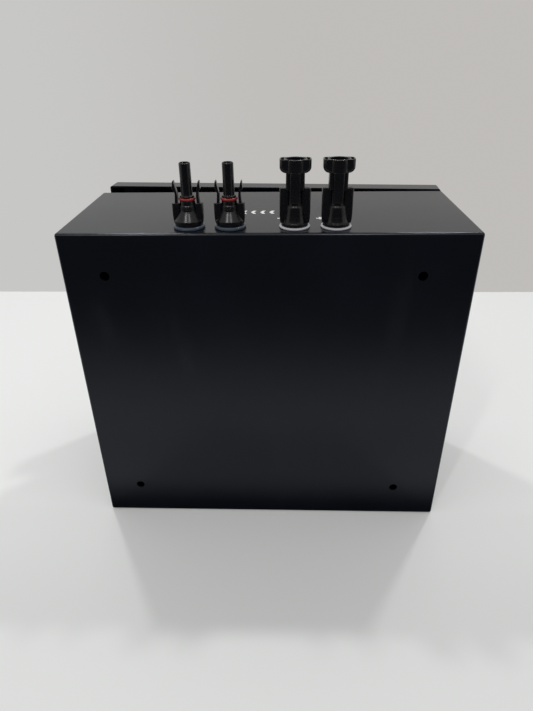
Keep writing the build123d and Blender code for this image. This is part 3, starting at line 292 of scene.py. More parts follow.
@dataclass(frozen=True)
class PowderCoat:
    """Baked powder paint: fine orange peel, faint cloudiness and a little dust."""

    colour: Colour
    dust: Colour
    gloss: float
    sheen: Colour
    patch_size: float = 62.0
    smear_size: float = 34.0
    peel_size: float = 1.3
    grit_size: float = 0.35
    peel_depth: float = 0.012
    cloudiness: float = 1.35
    dustiness: float = 0.02

    def make(self, name: str) -> bpy.types.Material:
        """Build the material."""
        board = PaintBoard(name, {"IOR": 1.5, "Specular Tint": (*self.sheen, 1.0)})
        patch = board.cloud(self.patch_size, 3).step(0.35, 0.75)
        smear = board.cloud(self.smear_size, 4, (1.0, 1.0, 3.0)).step(0.56, 0.8)
        paint = board.tint(patch, self.colour, shade(self.colour, self.cloudiness))
        dusty = board.tint(smear * self.dustiness, paint, self.dust)
        roughness = 0.03 * patch + 0.05 * smear + (1 - self.gloss)
        peel = 0.8 * board.cloud(self.peel_size, 1) + 0.2 * board.cloud(self.grit_size, 1)
        return board.coat(dusty, roughness, peel, self.peel_depth)


@dataclass(frozen=True)
class Moulding:
    """Moulded plastic with a fine spark-eroded grain."""

    colour: Colour
    roughness: float
    grain_depth: float = 0.02
    wear: float = 1.35
    flow_size: float = 9.0
    gloss_size: float = 3.5
    grain_size: float = 0.28

    def make(self, name: str) -> bpy.types.Material:
        """Build the material."""
        board = PaintBoard(name, {"IOR": 1.5})
        flow = board.cloud(self.flow_size, 3)
        colour = board.tint(flow, self.colour, shade(self.colour, self.wear))
        roughness = 0.12 * board.cloud(self.gloss_size, 2) + (self.roughness - 0.06)
        return board.coat(colour, roughness, board.cloud(self.grain_size, 2), self.grain_depth)


@dataclass(frozen=True)
class Elastic:
    """Soft rubber or silicone with a dull bloom."""

    colour: Colour
    bloom: Colour
    roughness: float
    haze_size: float = 4.0
    skin_size: float = 0.5
    skin_depth: float = 0.025

    def make(self, name: str) -> bpy.types.Material:
        """Build the material."""
        board = PaintBoard(name, {"IOR": 1.45})
        haze = board.cloud(self.haze_size, 3).step(0.4, 0.8)
        colour = board.tint(haze * 0.3, self.colour, self.bloom)
        roughness = 0.14 * haze + (self.roughness - 0.05)
        return board.coat(colour, roughness, board.cloud(self.skin_size, 2), self.skin_depth)


@dataclass(frozen=True)
class FoamSkin:
    """Foamed-in-place sealing bead: a dull skin over closed cells."""

    colour: Colour
    cell_size: float = 0.9
    dent_size: float = 2.2
    haze_size: float = 6.0
    skin_depth: float = 0.22

    def make(self, name: str) -> bpy.types.Material:
        """Build the material."""
        board = PaintBoard(name, {"IOR": 1.4})
        haze = board.cloud(self.haze_size, 3)
        colour = board.tint(haze, self.colour, shade(self.colour, 1.5))
        skin = 0.6 * board.pores(self.cell_size) + 0.4 * board.cloud(self.dent_size, 2)
        return board.coat(colour, 0.15 * haze + 0.72, skin, self.skin_depth)


class Grain(Enum):
    """Direction of a metal surface's fine lines, as how far they stretch along each axis."""

    ALONG_X = (22.0, 1.0, 1.0)
    ALONG_Z = (1.0, 1.0, 22.0)
    NONE = (1.0, 1.0, 1.0)


@dataclass(frozen=True)
class Plating:
    """Plated or bare metal with fine lines, patches and a faint tarnish."""

    colour: Colour
    tarnish: Colour
    roughness: float
    grain: Grain = Grain.NONE
    line_depth: float = 0.01
    line_size: float = 0.5
    patch_size: float = 11.0

    def make(self, name: str) -> bpy.types.Material:
        """Build the material."""
        board = PaintBoard(name, {"Metallic": 1.0})
        lines = board.cloud(self.line_size, 3, self.grain.value)
        patch = board.cloud(self.patch_size, 4).step(0.35, 0.75)
        metal = board.tint(patch, self.colour, self.tarnish)
        lined = board.tint(lines * 0.25, metal, shade(self.colour, 0.7))
        roughness = 0.1 * lines + 0.12 * patch + (self.roughness - 0.08)
        return board.coat(lined, roughness, lines, self.line_depth)


@dataclass(frozen=True)
class FuseTube:
    """Ceramic barrel with plated end caps, told apart by height."""

    ceramic: Colour
    cap: Colour
    middle: float
    half_barrel: float
    seam: float = 0.1
    stain_size: float = 5.0
    glaze_size: float = 0.8
    glaze_depth: float = 0.012

    def make(self, name: str) -> bpy.types.Material:
        """Build the material."""
        board = PaintBoard(name, {})
        _, _, height = board.axes()
        away = abs(height - self.middle * MM)
        caps = away.step((self.half_barrel - self.seam) * MM, self.half_barrel * MM)
        stain = board.cloud(self.stain_size, 3)
        glaze = board.tint(stain * 0.3, self.ceramic, shade(self.ceramic, 0.7))
        plate = board.tint(stain * 0.5, self.cap, shade(self.cap, 0.75))
        board.feed("Metallic", caps)
        colour, pits = board.tint(caps, glaze, plate), board.cloud(self.glaze_size, 2)
        return board.coat(colour, 0.1 * stain + 0.26, pits, self.glaze_depth)


class Axis(Enum):
    """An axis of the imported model's frame, by its place among the coordinates."""

    X = 0
    Y = 1


@dataclass(frozen=True)
class TwoColour:
    """The colours of earth: one with a band of the other across an axis."""

    ground: Colour
    stripe: Colour
    axis: Axis
    middle: float
    half_band: float
    roughness: float = 0.4
    seam: float = 0.08
    mottle_size: float = 5.0
    grain_size: float = 0.4
    grain_depth: float = 0.015

    def make(self, name: str) -> bpy.types.Material:
        """Build the material."""
        board = PaintBoard(name, {"IOR": 1.48})
        away = abs(board.axes()[self.axis.value] - self.middle * MM)
        band = 1 - away.step((self.half_band - self.seam) * MM, self.half_band * MM)
        mottle = board.cloud(self.mottle_size, 3)
        ground = board.tint(mottle * 0.35, self.ground, shade(self.ground, 0.7))
        stripe = board.tint(mottle * 0.35, self.stripe, shade(self.stripe, 0.75))
        colour = board.tint(band, ground, stripe)
        roughness = 0.1 * mottle + (self.roughness - 0.05)
        return board.coat(colour, roughness, board.cloud(self.grain_size, 2), self.grain_depth)


@dataclass(frozen=True)
class Ink:
    """Screen-printed paint, a little worn through."""

    colour: Colour
    under: Colour
    wear_size: float = 0.7
    gloss_size: float = 2.0
    grain_size: float = 0.4
    grain_depth: float = 0.01

    def make(self, name: str) -> bpy.types.Material:
        """Build the material."""
        board = PaintBoard(name, {"IOR": 1.45})
        worn = board.cloud(self.wear_size, 4).step(0.62, 0.8)
        colour = board.tint(worn * 0.35, self.colour, self.under)
        roughness = 0.12 * board.cloud(self.gloss_size, 2) + 0.44
        return board.coat(colour, roughness, board.cloud(self.grain_size, 2), self.grain_depth)


@dataclass(frozen=True)
class GlowWindow:
    """Clear tinted status window over a coloured flag."""

    colour: Colour
    haze_size: float = 2.5

    def make(self, name: str) -> bpy.types.Material:
        """Build the material."""
        board = PaintBoard(name, {"IOR": 1.5, "Coat Roughness": 0.05})
        haze = board.cloud(self.haze_size, 2)
        board.feed("Base Color", board.tint(haze, self.colour, shade(self.colour, 1.3)))
        board.feed("Roughness", 0.1 * haze + 0.12)
        board.feed("Coat Weight", 0.3 * haze + 0.6)
        return board.material


Finish = Union[
    PowderCoat, Moulding, Elastic, FoamSkin, Plating, FuseTube, TwoColour, Ink, GlowWindow
]

BLACK_PAINT = PowderCoat((0.0020, 0.0026, 0.0050), (0.1, 0.1, 0.1), 0.78, (0.80, 0.84, 0.94))
CONNECTOR_PLASTIC = Moulding((0.0020, 0.0022, 0.0034), 0.27, 0.006)
NUT_PLASTIC = Moulding((0.012, 0.012, 0.013), 0.5)
MODULE_PLASTIC = Moulding((0.58, 0.6, 0.6), 0.48, 0.025, 1.06)
CARRIER_PLASTIC = Moulding((0.30, 0.32, 0.33), 0.45, 0.025, 1.1)
TOGGLE_PLASTIC = Moulding((0.012, 0.012, 0.014), 0.3, 0.01)
CARTRIDGE_PLASTIC = Moulding((0.42, 0.035, 0.022), 0.42, 0.022, 1.15)
BLUE_SEAL = Elastic((0.044, 0.057, 0.078), (0.12, 0.145, 0.18), 0.36)
WHITE_SEAL = Elastic((0.42, 0.42, 0.45), (0.56, 0.56, 0.58), 0.5)
RED_RING = Elastic((0.18, 0.010, 0.010), (0.30, 0.025, 0.022), 0.38)
GASKET_FOAM = FoamSkin((0.022, 0.022, 0.024))
ZINC = Plating((0.62, 0.63, 0.64), (0.52, 0.53, 0.52), 0.4)
ZINC_SHEET = Plating((0.60, 0.61, 0.62), (0.68, 0.68, 0.67), 0.42, Grain.ALONG_X)
HINGE_STEEL = Plating((0.42, 0.43, 0.44), (0.34, 0.34, 0.33), 0.45, Grain.ALONG_Z)
BRIGHT_PLATE = Plating((0.76, 0.77, 0.78), (0.70, 0.71, 0.72), 0.2, Grain.NONE, 0.004)
TINNED = Plating((0.72, 0.71, 0.68), (0.60, 0.59, 0.55), 0.34)
COPPER = Plating((0.80, 0.40, 0.23), (0.55, 0.24, 0.13), 0.32, Grain.ALONG_X)
FUSE_TUBE = FuseTube((0.78, 0.75, 0.68), (0.72, 0.71, 0.67), 3.0, 9.05)
BLACK_LEAD = Elastic((0.012, 0.012, 0.013), (0.05, 0.05, 0.052), 0.42)
EARTH_LEAD = TwoColour((0.06, 0.25, 0.03), (0.72, 0.60, 0.04), Axis.Y, -47.0, 1.0)
WHITE_INK = Ink((0.72, 0.73, 0.72), (0.10, 0.10, 0.10))
BLACK_INK = Ink((0.02, 0.02, 0.022), (0.30, 0.31, 0.32))
GREEN_WINDOW = GlowWindow((0.05, 0.42, 0.08))


class Paintbox:
    """Makes each finish once and gives it to nodes and pieces."""

    def __init__(self, nodes: dict[str, bpy.types.Object]) -> None:
        """Start with no material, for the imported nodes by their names."""
        self.nodes = nodes
        self.made: dict[Finish, bpy.types.Material] = {}

    def material(self, finish: Finish) -> bpy.types.Material:
        """Return a finish's material, made at its first use."""
        if finish not in self.made:
            self.made[finish] = finish.make(f"finish_{len(self.made):02d}_{type(finish).__name__}")
        return self.made[finish]

    def dress(self, finish: Finish, *names: str) -> None:
        """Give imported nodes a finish.

        Args:
            finish: The finish.
            names: Names of the nodes.
        """
        for name in names:
            mesh = self.nodes[name].data
            mesh.materials.clear()
            mesh.materials.append(self.material(finish))
            mesh.shade_smooth()
            mesh.set_sharp_from_angle(angle=NODE_CREASE)
            LOG.info("dressed %s with %s", name, type(finish).__name__)


def soften(points: Sequence[Point], radius: float, steps: int = 3) -> list[Point]:
    """Round every corner of a closed outline, but never more than a set share of a side.

    Args:
        points: The corners in order.
        radius: Size of the rounding.
        steps: Number of segments in each rounded corner.

    Returns:
        The new outline.
    """
    result = []
    longest_cut = 0.45
    for before, corner, after in zip((points[-1], *points[:-1]), points, (*points[1:], points[0])):
        middle = Vector(corner)
        sides = [Vector(before) - middle, Vector(after) - middle]
        reach = min(radius, *(side.length * longest_cut for side in sides))
        start, end = (middle + side.normalized() * reach for side in sides)
        for step in range(steps + 1):
            share = step / steps
            point = start.lerp(middle, share).lerp(middle.lerp(end, share), share)
            result.append((point.x, point.y))
    return result


def ellipse(half_x: float, half_y: float, steps: int = 48) -> list[Point]:
    """Return the points of an ellipse round the origin."""
    turns = (2 * math.pi * step / steps for step in range(steps))
    return [(half_x * math.cos(turn), half_y * math.sin(turn)) for turn in turns]


def rectangle(low_x: float, high_x: float, low_y: float, high_y: float) -> list[Point]:
    """Return the corners of a rectangle."""
    return [(low_x, low_y), (high_x, low_y), (high_x, high_y), (low_x, high_y)]


class Facing(Enum):
    """The plane that an outline lies in, as the axes of its two coordinates and of its thickness."""

    LEVEL = ((1, 0, 0), (0, 1, 0), (0, 0, 1))
    FRONT = ((1, 0, 0), (0, 0, 1), (0, 1, 0))


class Workpiece:
    """A mesh under construction, in millimetres round a place of its own."""

    def __init__(self, name: str) -> None:
        """Start an empty mesh for a piece with this name."""
        self.name = name
        self.mesh = bmesh.new()

    def slab(
        self,
        outline: Sequence[Point],
        low: float,
        high: float,
        facing: Facing = Facing.LEVEL,
        edge: float = 0.0,
    ) -> None:
        """Add a plate of an outline's shape.

        Args:
            outline: Corners in the plane.
            low: Where the plate starts across the plane.
            high: Where it ends.
            facing: The plane.
            edge: Rounding of the edges at both faces.
        """
        across, along, through = (Vector(axis) for axis in facing.value)
        base = self.mesh.faces.new(
            [self.mesh.verts.new(across * x + along * y + through * low) for x, y in outline]
        )
        grown = bmesh.ops.extrude_face_region(self.mesh, geom=[base])["geom"]
        top_points = [item for item in grown if isinstance(item, bmesh.types.BMVert)]
        bmesh.ops.translate(self.mesh, verts=top_points, vec=through * (high - low))
        top = next(item for item in grown if isinstance(item, bmesh.types.BMFace))
        if edge:
            rims = list({*base.edges, *top.edges})
            bmesh.ops.bevel(
                self.mesh, geom=rims, offset=edge, segments=3, profile=0.5, affect="EDGES"
            )

    def turn(self, profile: Sequence[Point], steps: int = 80) -> None:
        """Add a closed profile turned once round the upright axis.

        Args:
            profile: Radius and height of each corner.
            steps: Number of segments.
        """
        sections = []
        for step in range(steps):
            angle = math.radians(360.0 * step / steps)
            cosine, sine = math.cos(angle), math.sin(angle)
            sections.append([Vector((radius * cosine, radius * sine, z)) for radius, z in profile])
        self.tube(sections)

    def frame(
        self, outline: Sequence[Point], inner: Sequence[Point], low: float, high: float, facing: Facing
    ) -> None:
        """Add a flat ring between two outlines with the same number of corners.

        Args:
            outline: The outer corners.
            inner: The corners of the opening.
            low: Where the ring starts across the plane.
            high: Where it ends.
            facing: The plane.
        """
        across, along, through = (Vector(axis) for axis in facing.value)
        sections = []
        for outer_point, inner_point in zip(outline, inner):
            ring = ((outer_point, low), (outer_point, high), (inner_point, high), (inner_point, low))
            sections.append([across * spot[0] + along * spot[1] + through * level for spot, level in ring])
        self.tube(sections)

    def tube(self, sections: Sequence[Sequence[Vector]], closed: bool = True) -> None:
        """Join cross-sections of the same number of points into a skin.

        Args:
            sections: The points of each cross-section in order.
            closed: Whether the last section joins the first; otherwise both ends get a face.
        """
        rings = [[self.mesh.verts.new(point) for point in section] for section in sections]
        pairs = list(zip(rings, rings[1:])) + ([(rings[-1], rings[0])] if closed else [])
        for here, there in pairs:
            for index in range(len(here)):
                following = (index + 1) % len(here)
                self.mesh.faces.new((here[index], there[index], there[following], here[following]))
        if not closed:
            self.mesh.faces.new(rings[0])
            self.mesh.faces.new(rings[-1])

    def done(
        self,
        place: Matrix,
        material: bpy.types.Material,
        body: str,
        replaced: Sequence[str] = (),
    ) -> bpy.types.Object:
        """Turn the mesh into a piece of the scene.

        Args:
            place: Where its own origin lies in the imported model's frame, in millimetres.
            material: Its finish.
            body: The body that it rides on.
            replaced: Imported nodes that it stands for.

        Returns:
            The finished object.
        """
        bmesh.ops.remove_doubles(self.mesh, verts=self.mesh.verts, dist=MERGE_DISTANCE)
        bmesh.ops.recalc_face_normals(self.mesh, faces=self.mesh.faces)
        self.mesh.transform(Matrix.Scale(MM, 4) @ place)
        data = bpy.data.meshes.new(self.name)
        self.mesh.to_mesh(data)
        self.mesh.free()
        data.shade_smooth()
        data.set_sharp_from_angle(angle=PIECE_CREASE)
        data.materials.append(material)
        piece = bpy.data.objects.new(self.name, data)
        bpy.context.scene.collection.objects.link(piece)
        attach(piece, body)
        if replaced:
            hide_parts(*replaced)
        LOG.info("built %s on %s, %d faces", self.name, body, len(data.polygons))
        return piece


@dataclass
class Case:
    """The folded box and its door: painted steel, hinges, lock and the foam bead inside the door."""

    paints: Paintbox
    hinge_x: float = -133.2
    hinge_y: float = -116.5
    ajar: float = 3.6
    opening_width: float = 234.0
    opening_height: float = 204.0
    opening_radius: float = 6.0
    sheet: float = 1.5
    door_middle: float = 130.0
    bead_width: float = 9.0
    bead_floor: float = -9.5
    bead_crown: float = -2.8

    def build(self) -> None:
        """Dress the steelwork and lay the foam bead."""
        dress = self.paints.dress
        dress(BLACK_PAINT, "enclosure", "door")
        dress(HINGE_STEEL, "hinge_bracket_lower", "hinge_bracket_upper")
        dress(HINGE_STEEL, "hinge_leaf_lower", "hinge_leaf_upper")
        dress(ZINC, "hinge_pins", "hinge_rivets", "lock_nut", "lock_cam", "lock_cam_screw")
        dress(BRIGHT_PLATE, "lock_body", "lock_plug")
        self.lay_bead()

    def door_place(self) -> Matrix:
        """Return the door's own frame: its origin is the hinge axis, its X axis runs along the door."""
        turned = Matrix.Rotation(math.radians(-self.ajar), 4, "Z")
        return Matrix.Translation((self.hinge_x, self.hinge_y, 0.0)) @ turned

    def bead_path(self) -> list[tuple[Vector, Vector]]:
        """Return points along the middle of the bead, each with the outward direction there."""
        half_x = (self.opening_width + self.sheet) / 2
        half_z = (self.opening_height + self.sheet) / 2
        radius = self.opening_radius + self.sheet / 2
        corner_steps, side_steps = 10, 40
        path = []
        corners = ((1, 1, 0), (-1, 1, 90), (-1, -1, 180), (1, -1, 270))
        for side_x, side_z, start in corners:
            centre = Vector((self.door_middle + side_x * (half_x - radius), side_z * (half_z - radius)))
            for step in range(corner_steps + 1):
                angle = math.radians(start + 90 * step / corner_steps)
                outward = Vector((math.cos(angle), math.sin(angle)))
                path.append((centre + outward * radius, outward))
        full = []
        for (here, outward), (there, _) in zip(path, path[1:] + path[:1]):
            full.append((here, outward))
            if (there - here).length > 4 * radius:
                full += [(here.lerp(there, step / side_steps), outward) for step in range(1, side_steps)]
        return full

    def lay_bead(self) -> None:
        """Build the domed foam bead that replaces the plain gasket."""
        piece = Workpiece("foam_bead")
        depth = self.bead_crown - self.bead_floor
        section = [
            (-0.42, 0.0), (-0.49, 0.12), (-0.5, 0.3), (-0.46, 0.55), (-0.37, 0.78), (-0.22, 0.94),
            (0.0, 1.0), (0.22, 0.94), (0.37, 0.78), (0.46, 0.55), (0.5, 0.3), (0.49, 0.12), (0.42, 0.0),
        ]
        sections = []
        ripple, quick, slow = 0.02, 0.9, 0.37
        for index, (point, outward) in enumerate(self.bead_path()):
            swell = 1 - ripple * (1 + math.sin(index * quick) * math.cos(index * slow))
            ring = []
            for across, up in section:
                spot = point + outward * across * self.bead_width * swell
                ring.append(Vector((spot.x, self.bead_floor + up * depth * swell, spot.y)))
            sections.append(ring)
        piece.tube(sections)
        piece.done(
            self.door_place(), self.paints.material(GASKET_FOAM), "door", ["door_gasket"]
        )


class Kind(Enum):
    """The two types of panel connector."""

    SOCKET = "socket"
    PLUG = "plug"


@dataclass
class PanelConnector:
    """One string connector in the upper end of the box, with its seal and, on a socket, its O-ring."""

    paints: Paintbox
    kind: Kind
    number: int
    x: float
    y: float = -14.0
    top: float = 120.0
    bore: float = 2.65
    stub: float = 6.0
    stub_length: float = 12.0
    stub_seat: float = 6.05
    foot: float = 3.2
    skirt: float = 8.65
    wing: float = 9.7
    wing_half_depth: float = 3.2
    arm_half_depth: float = 2.2
    tube: float = 3.55
    ring_radius: float = 4.5
    ring_height: float = 18.3
    collar_top: float = 41.9
    collar_half_depth: float = 4.9
    lug_wall: float = 0.95
    lug_hollow: float = 5.8
    lug_corner: float = 2.9
    slot_start: float = 6.95
    slot_floor: float = 36.9

    def build(self) -> None:
        """Build the housing and its soft rings, and dress the contact."""
        housing = Workpiece(f"connector_{self.kind.value}_{self.number}")
        if self.kind is Kind.SOCKET:
            self.turn_socket(housing)
            self.add_arms(housing)
            self.make_ring()
        else:
            self.turn_plug(housing)
            self.add_collar(housing)
        material = self.paints.material(CONNECTOR_PLASTIC)
        housing.done(self.place(), material, "box", [self.node("housing")])
        self.make_seal()
        self.paints.dress(TINNED, self.node("contact"))

    def place(self) -> Matrix:
        """Return where the connector stands on the upper end."""
        return Matrix.Translation((self.x, self.y, self.top))

    def node(self, part: str) -> str:
        """Return the name of one of this connector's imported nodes."""
        return f"{self.kind.value}_{part}_{self.number}"

    def turn_socket(self, housing: Workpiece) -> None:
        """Turn the tube, O-ring groove and conical skirt, then add the two wings and the grip rings."""
        outer = [
            (self.bore, -self.stub_length), (self.stub, -self.stub_length), (self.stub, 2.0),
            (self.skirt, 2.0), (9.25, 3.1), (9.25, 5.2), (8.8, 5.8), (6.2, 10.1), (5.7, 10.7), (5.5, 11.3),
            (5.3, 14.2), (4.9, 14.7), (4.8, 17.3), (3.5, 17.4), (3.5, 19.2), (4.6, 19.3),
            (4.5, 20.1), (4.2, 20.4), (self.tube, 20.5), (self.tube, 39.6), (3.2, 40.1), (self.bore, 40.1),
        ]
        housing.turn(soften(outer, 0.28))
        self.add_wings(housing, 4.6, 15.9)
        root, crest, width = 5.2, 5.75, 0.55
        for height in (12.0, 13.2):
            rib = rectangle(root, crest, height, height + width)
            housing.turn(soften(rib, 0.18))

    def add_wings(self, housing: Workpiece, inner: float, top: float) -> None:
        """Add the two wings beside the core, which narrow a little towards the foot.

        Args:
            housing: The mesh.
            inner: Where each wing starts inside the core.
            top: Height of the wings' tops.
        """
        rim = 0.35
        layers = (
            (self.foot, -0.75), (self.foot + 0.3, -0.45), (6.0, -0.12), (9.0, 0.0), (top - rim, 0.0),
            (top - 0.1, -0.12), (top, -rim),
        )
        for side in (-1, 1):
            sections = []
            for height, grow in layers:
                depth = self.wing_half_depth + grow * 0.6
                plan = rectangle(inner, self.wing + grow, -depth, depth)
                sections.append([Vector((side * x, y, height)) for x, y in soften(plan, 1.5, 5)])
            housing.tube(sections, closed=False)

    def add_arms(self, housing: Workpiece) -> None:
        """Add the two springy arms with their barbs."""
        for side in (-1, 1):
            arm = [
                (6.4, 13.6), (8.0, 13.6), (7.6, 18.0), (7.3, 22.0), (8.9, 24.5), (8.75, 25.4),
                (8.35, 29.2), (7.75, 29.3), (6.95, 26.1), (6.2, 22.6), (5.9, 20.0), (6.1, 17.0),
            ]
            outline = [(side * x, z) for x, z in arm]
            low, high = -self.arm_half_depth, self.arm_half_depth
            housing.slab(soften(outline, 0.35), low, high, Facing.FRONT, edge=0.22)

    def make_ring(self) -> None:
        """Build the red O-ring in its groove."""
        ring = Workpiece(f"o_ring_{self.number}")
        section = [(self.ring_radius + x, self.ring_height + z) for x, z in ellipse(0.95, 0.82, 20)]
        ring.turn(section)
        ring.done(self.place(), self.paints.material(RED_RING), "box", [self.node("ring")])

    def turn_plug(self, housing: Workpiece) -> None:
        """Turn the flared bell, core, ringed mouth and mating bore, then add the wings and neck."""
        outer = [
            (self.bore, -self.stub_length), (self.stub, -self.stub_length), (self.stub, 1.45),
            (self.skirt, 1.45), (self.skirt, 3.5), (7.9, 3.75), (7.35, 5.8), (6.85, 8.0), (6.45, 10.6),
            (6.1, 13.2), (5.6, 14.3), (4.75, 14.8), (4.6, 33.6), (6.7, 34.0), (6.7, 41.6),
            (6.4, self.collar_top), (5.6, self.collar_top), (5.45, 41.6), (5.45, 33.0), (3.9, 33.0),
            (3.75, 32.7), (3.75, 10.2), (self.bore, 10.2),
        ]
        housing.turn(soften(outer, 0.3))
        self.add_wings(housing, 3.4, 24.9)
        neck_bottom, strip_bottom, neck_top = 23.9, 16.2, 34.6
        neck = soften(rectangle(-5.8, 5.8, -4.5, 4.5), 1.6, 5)
        housing.slab(neck, neck_bottom, neck_top, edge=0.2)
        strip = soften(rectangle(-3.1, 3.1, -6.4, 6.4), 0.8, 4)
        housing.slab(strip, strip_bottom, neck_top, edge=0.5)

    def lug_plan(self, reach: float, depth: float) -> list[Point]:
        """Draw a lug from above: hollow towards the mouth, rounded at its two outer corners.

        Args:
            reach: How far its outer end is from the connector's middle.
            depth: Half its width.

        Returns:
            The outline.
        """
        steps, corner, hollow = 7, self.lug_corner, self.lug_hollow
        turn = math.asin(depth / hollow)
        angles = [turn * (1 - 2 * step / steps) for step in range(steps + 1)]
        outline = [(hollow * math.cos(angle), hollow * math.sin(angle)) for angle in angles]
        for side, start in ((-1, -90), (1, 0)):
            for step in range(steps + 1):
                angle = math.radians(start + 90 * step / steps)
                x = reach - corner + corner * math.cos(angle)
                outline.append((x, side * (depth - corner) + corner * math.sin(angle)))
        return outline

    def add_collar(self, housing: Workpiece) -> None:
        """Add the two slotted lugs of the collar, which the arms of a mating connector snap into."""
        wall, top = self.lug_wall, self.collar_top
        layers = (
            (34.0, -2.5), (34.25, -1.9), (34.8, -1.15), (35.6, -0.5), (36.6, -0.08), (37.2, 0.0),
            (top - 0.3, 0.0), (top - 0.08, -0.09), (top, -0.3),
        )
        for side in (-1, 1):
            sections = []
            for height, grow in layers:
                plan = self.lug_plan(self.wing + grow, self.collar_half_depth + grow * 0.25)
                sections.append([Vector((side * x, y, height)) for x, y in plan])
            for height, grow in ((top, 0.0), (top - 0.2, 0.12), (self.slot_floor, 0.12)):
                depth = self.collar_half_depth - wall - grow
                slot = rectangle(self.slot_start + grow, self.wing - wall - grow, -depth, depth)
                plan = soften(slot, 1.0, 5)
                sections.append([Vector((side * x, y, height)) for x, y in plan[-3:] + plan[:-3]])
            housing.tube(sections, closed=False)

    def make_seal(self) -> None:
        """Build the soft seal under the foot, squeezed so that its rim bulges."""
        node = self.node("seal")
        seal = Workpiece(f"seal_{node}")
        if self.kind is Kind.SOCKET:
            rim, top, finish, slot = 10.25, 2.0, BLUE_SEAL, "seal_blue_grey"
        else:
            rim, top, finish, slot = 9.9, 1.45, WHITE_SEAL, "seal_white"
        section = [
            (self.stub_seat, 0.0), (rim - 0.45, 0.0), (rim - 0.1, 0.3), (rim, top * 0.45),
            (rim - 0.05, top * 0.75), (rim - 0.3, top - 0.15), (rim - 0.7, top), (self.stub_seat, top),
        ]
        seal.turn(soften(section, 0.2))
        seal.done(self.place(), self.paints.material(finish), "box", [node])


@dataclass
class PanelMarks:
    """Plain printed shapes on the upper end: a row of chevrons, and the signs beside the plugs."""

    paints: Paintbox
    top: float = 120.0
    ink: float = 0.07
    chevron_count: int = 6
    chevron_pitch: float = 6.4
    first_x: float = -5.4
    row_y: float = -48.0
    height: float = 7.6
    stroke: float = 1.7
    half_chevron: float = 1.9
    sink: float = 0.01
    sign_size: float = 5.4
    sign_y: float = -32.8
    minus_x: float = -12.0
    plus_x: float = -38.2

    def build(self) -> None:
        """Print the marks."""
        ink = self.paints.material(WHITE_INK)
        place = Matrix.Translation((0.0, 0.0, self.top - self.sink))
        row = Workpiece("print_chevrons")
        half, slant = self.height / 2, self.stroke * 1.3
        high, middle, low = self.row_y + half, self.row_y, self.row_y - half
        for index in range(self.chevron_count):
            x = self.first_x + index * self.chevron_pitch
            tail, tip = x - self.half_chevron, x + self.half_chevron
            arrow = [
                (tail, high), (tail + slant, high), (tip, middle),
                (tail + slant, low), (tail, low), (tip - slant, middle),
            ]
            row.slab(soften(arrow, 0.12), 0.0, self.ink)
        row.done(place, ink, "box")
        signs = Workpiece("print_pole_signs")
        arm, bar = self.sign_size / 2, self.stroke / 2
        y = self.sign_y
        for x in (self.minus_x, self.plus_x):
            signs.slab(soften(rectangle(x - arm, x + arm, y - bar, y + bar), 0.2), 0.0, self.ink)
        for low, high in ((y - arm, y - bar), (y + bar, y + arm)):
            signs.slab(rectangle(self.plus_x - bar, self.plus_x + bar, low, high), 0.0, self.ink)
        signs.done(place, ink, "box")


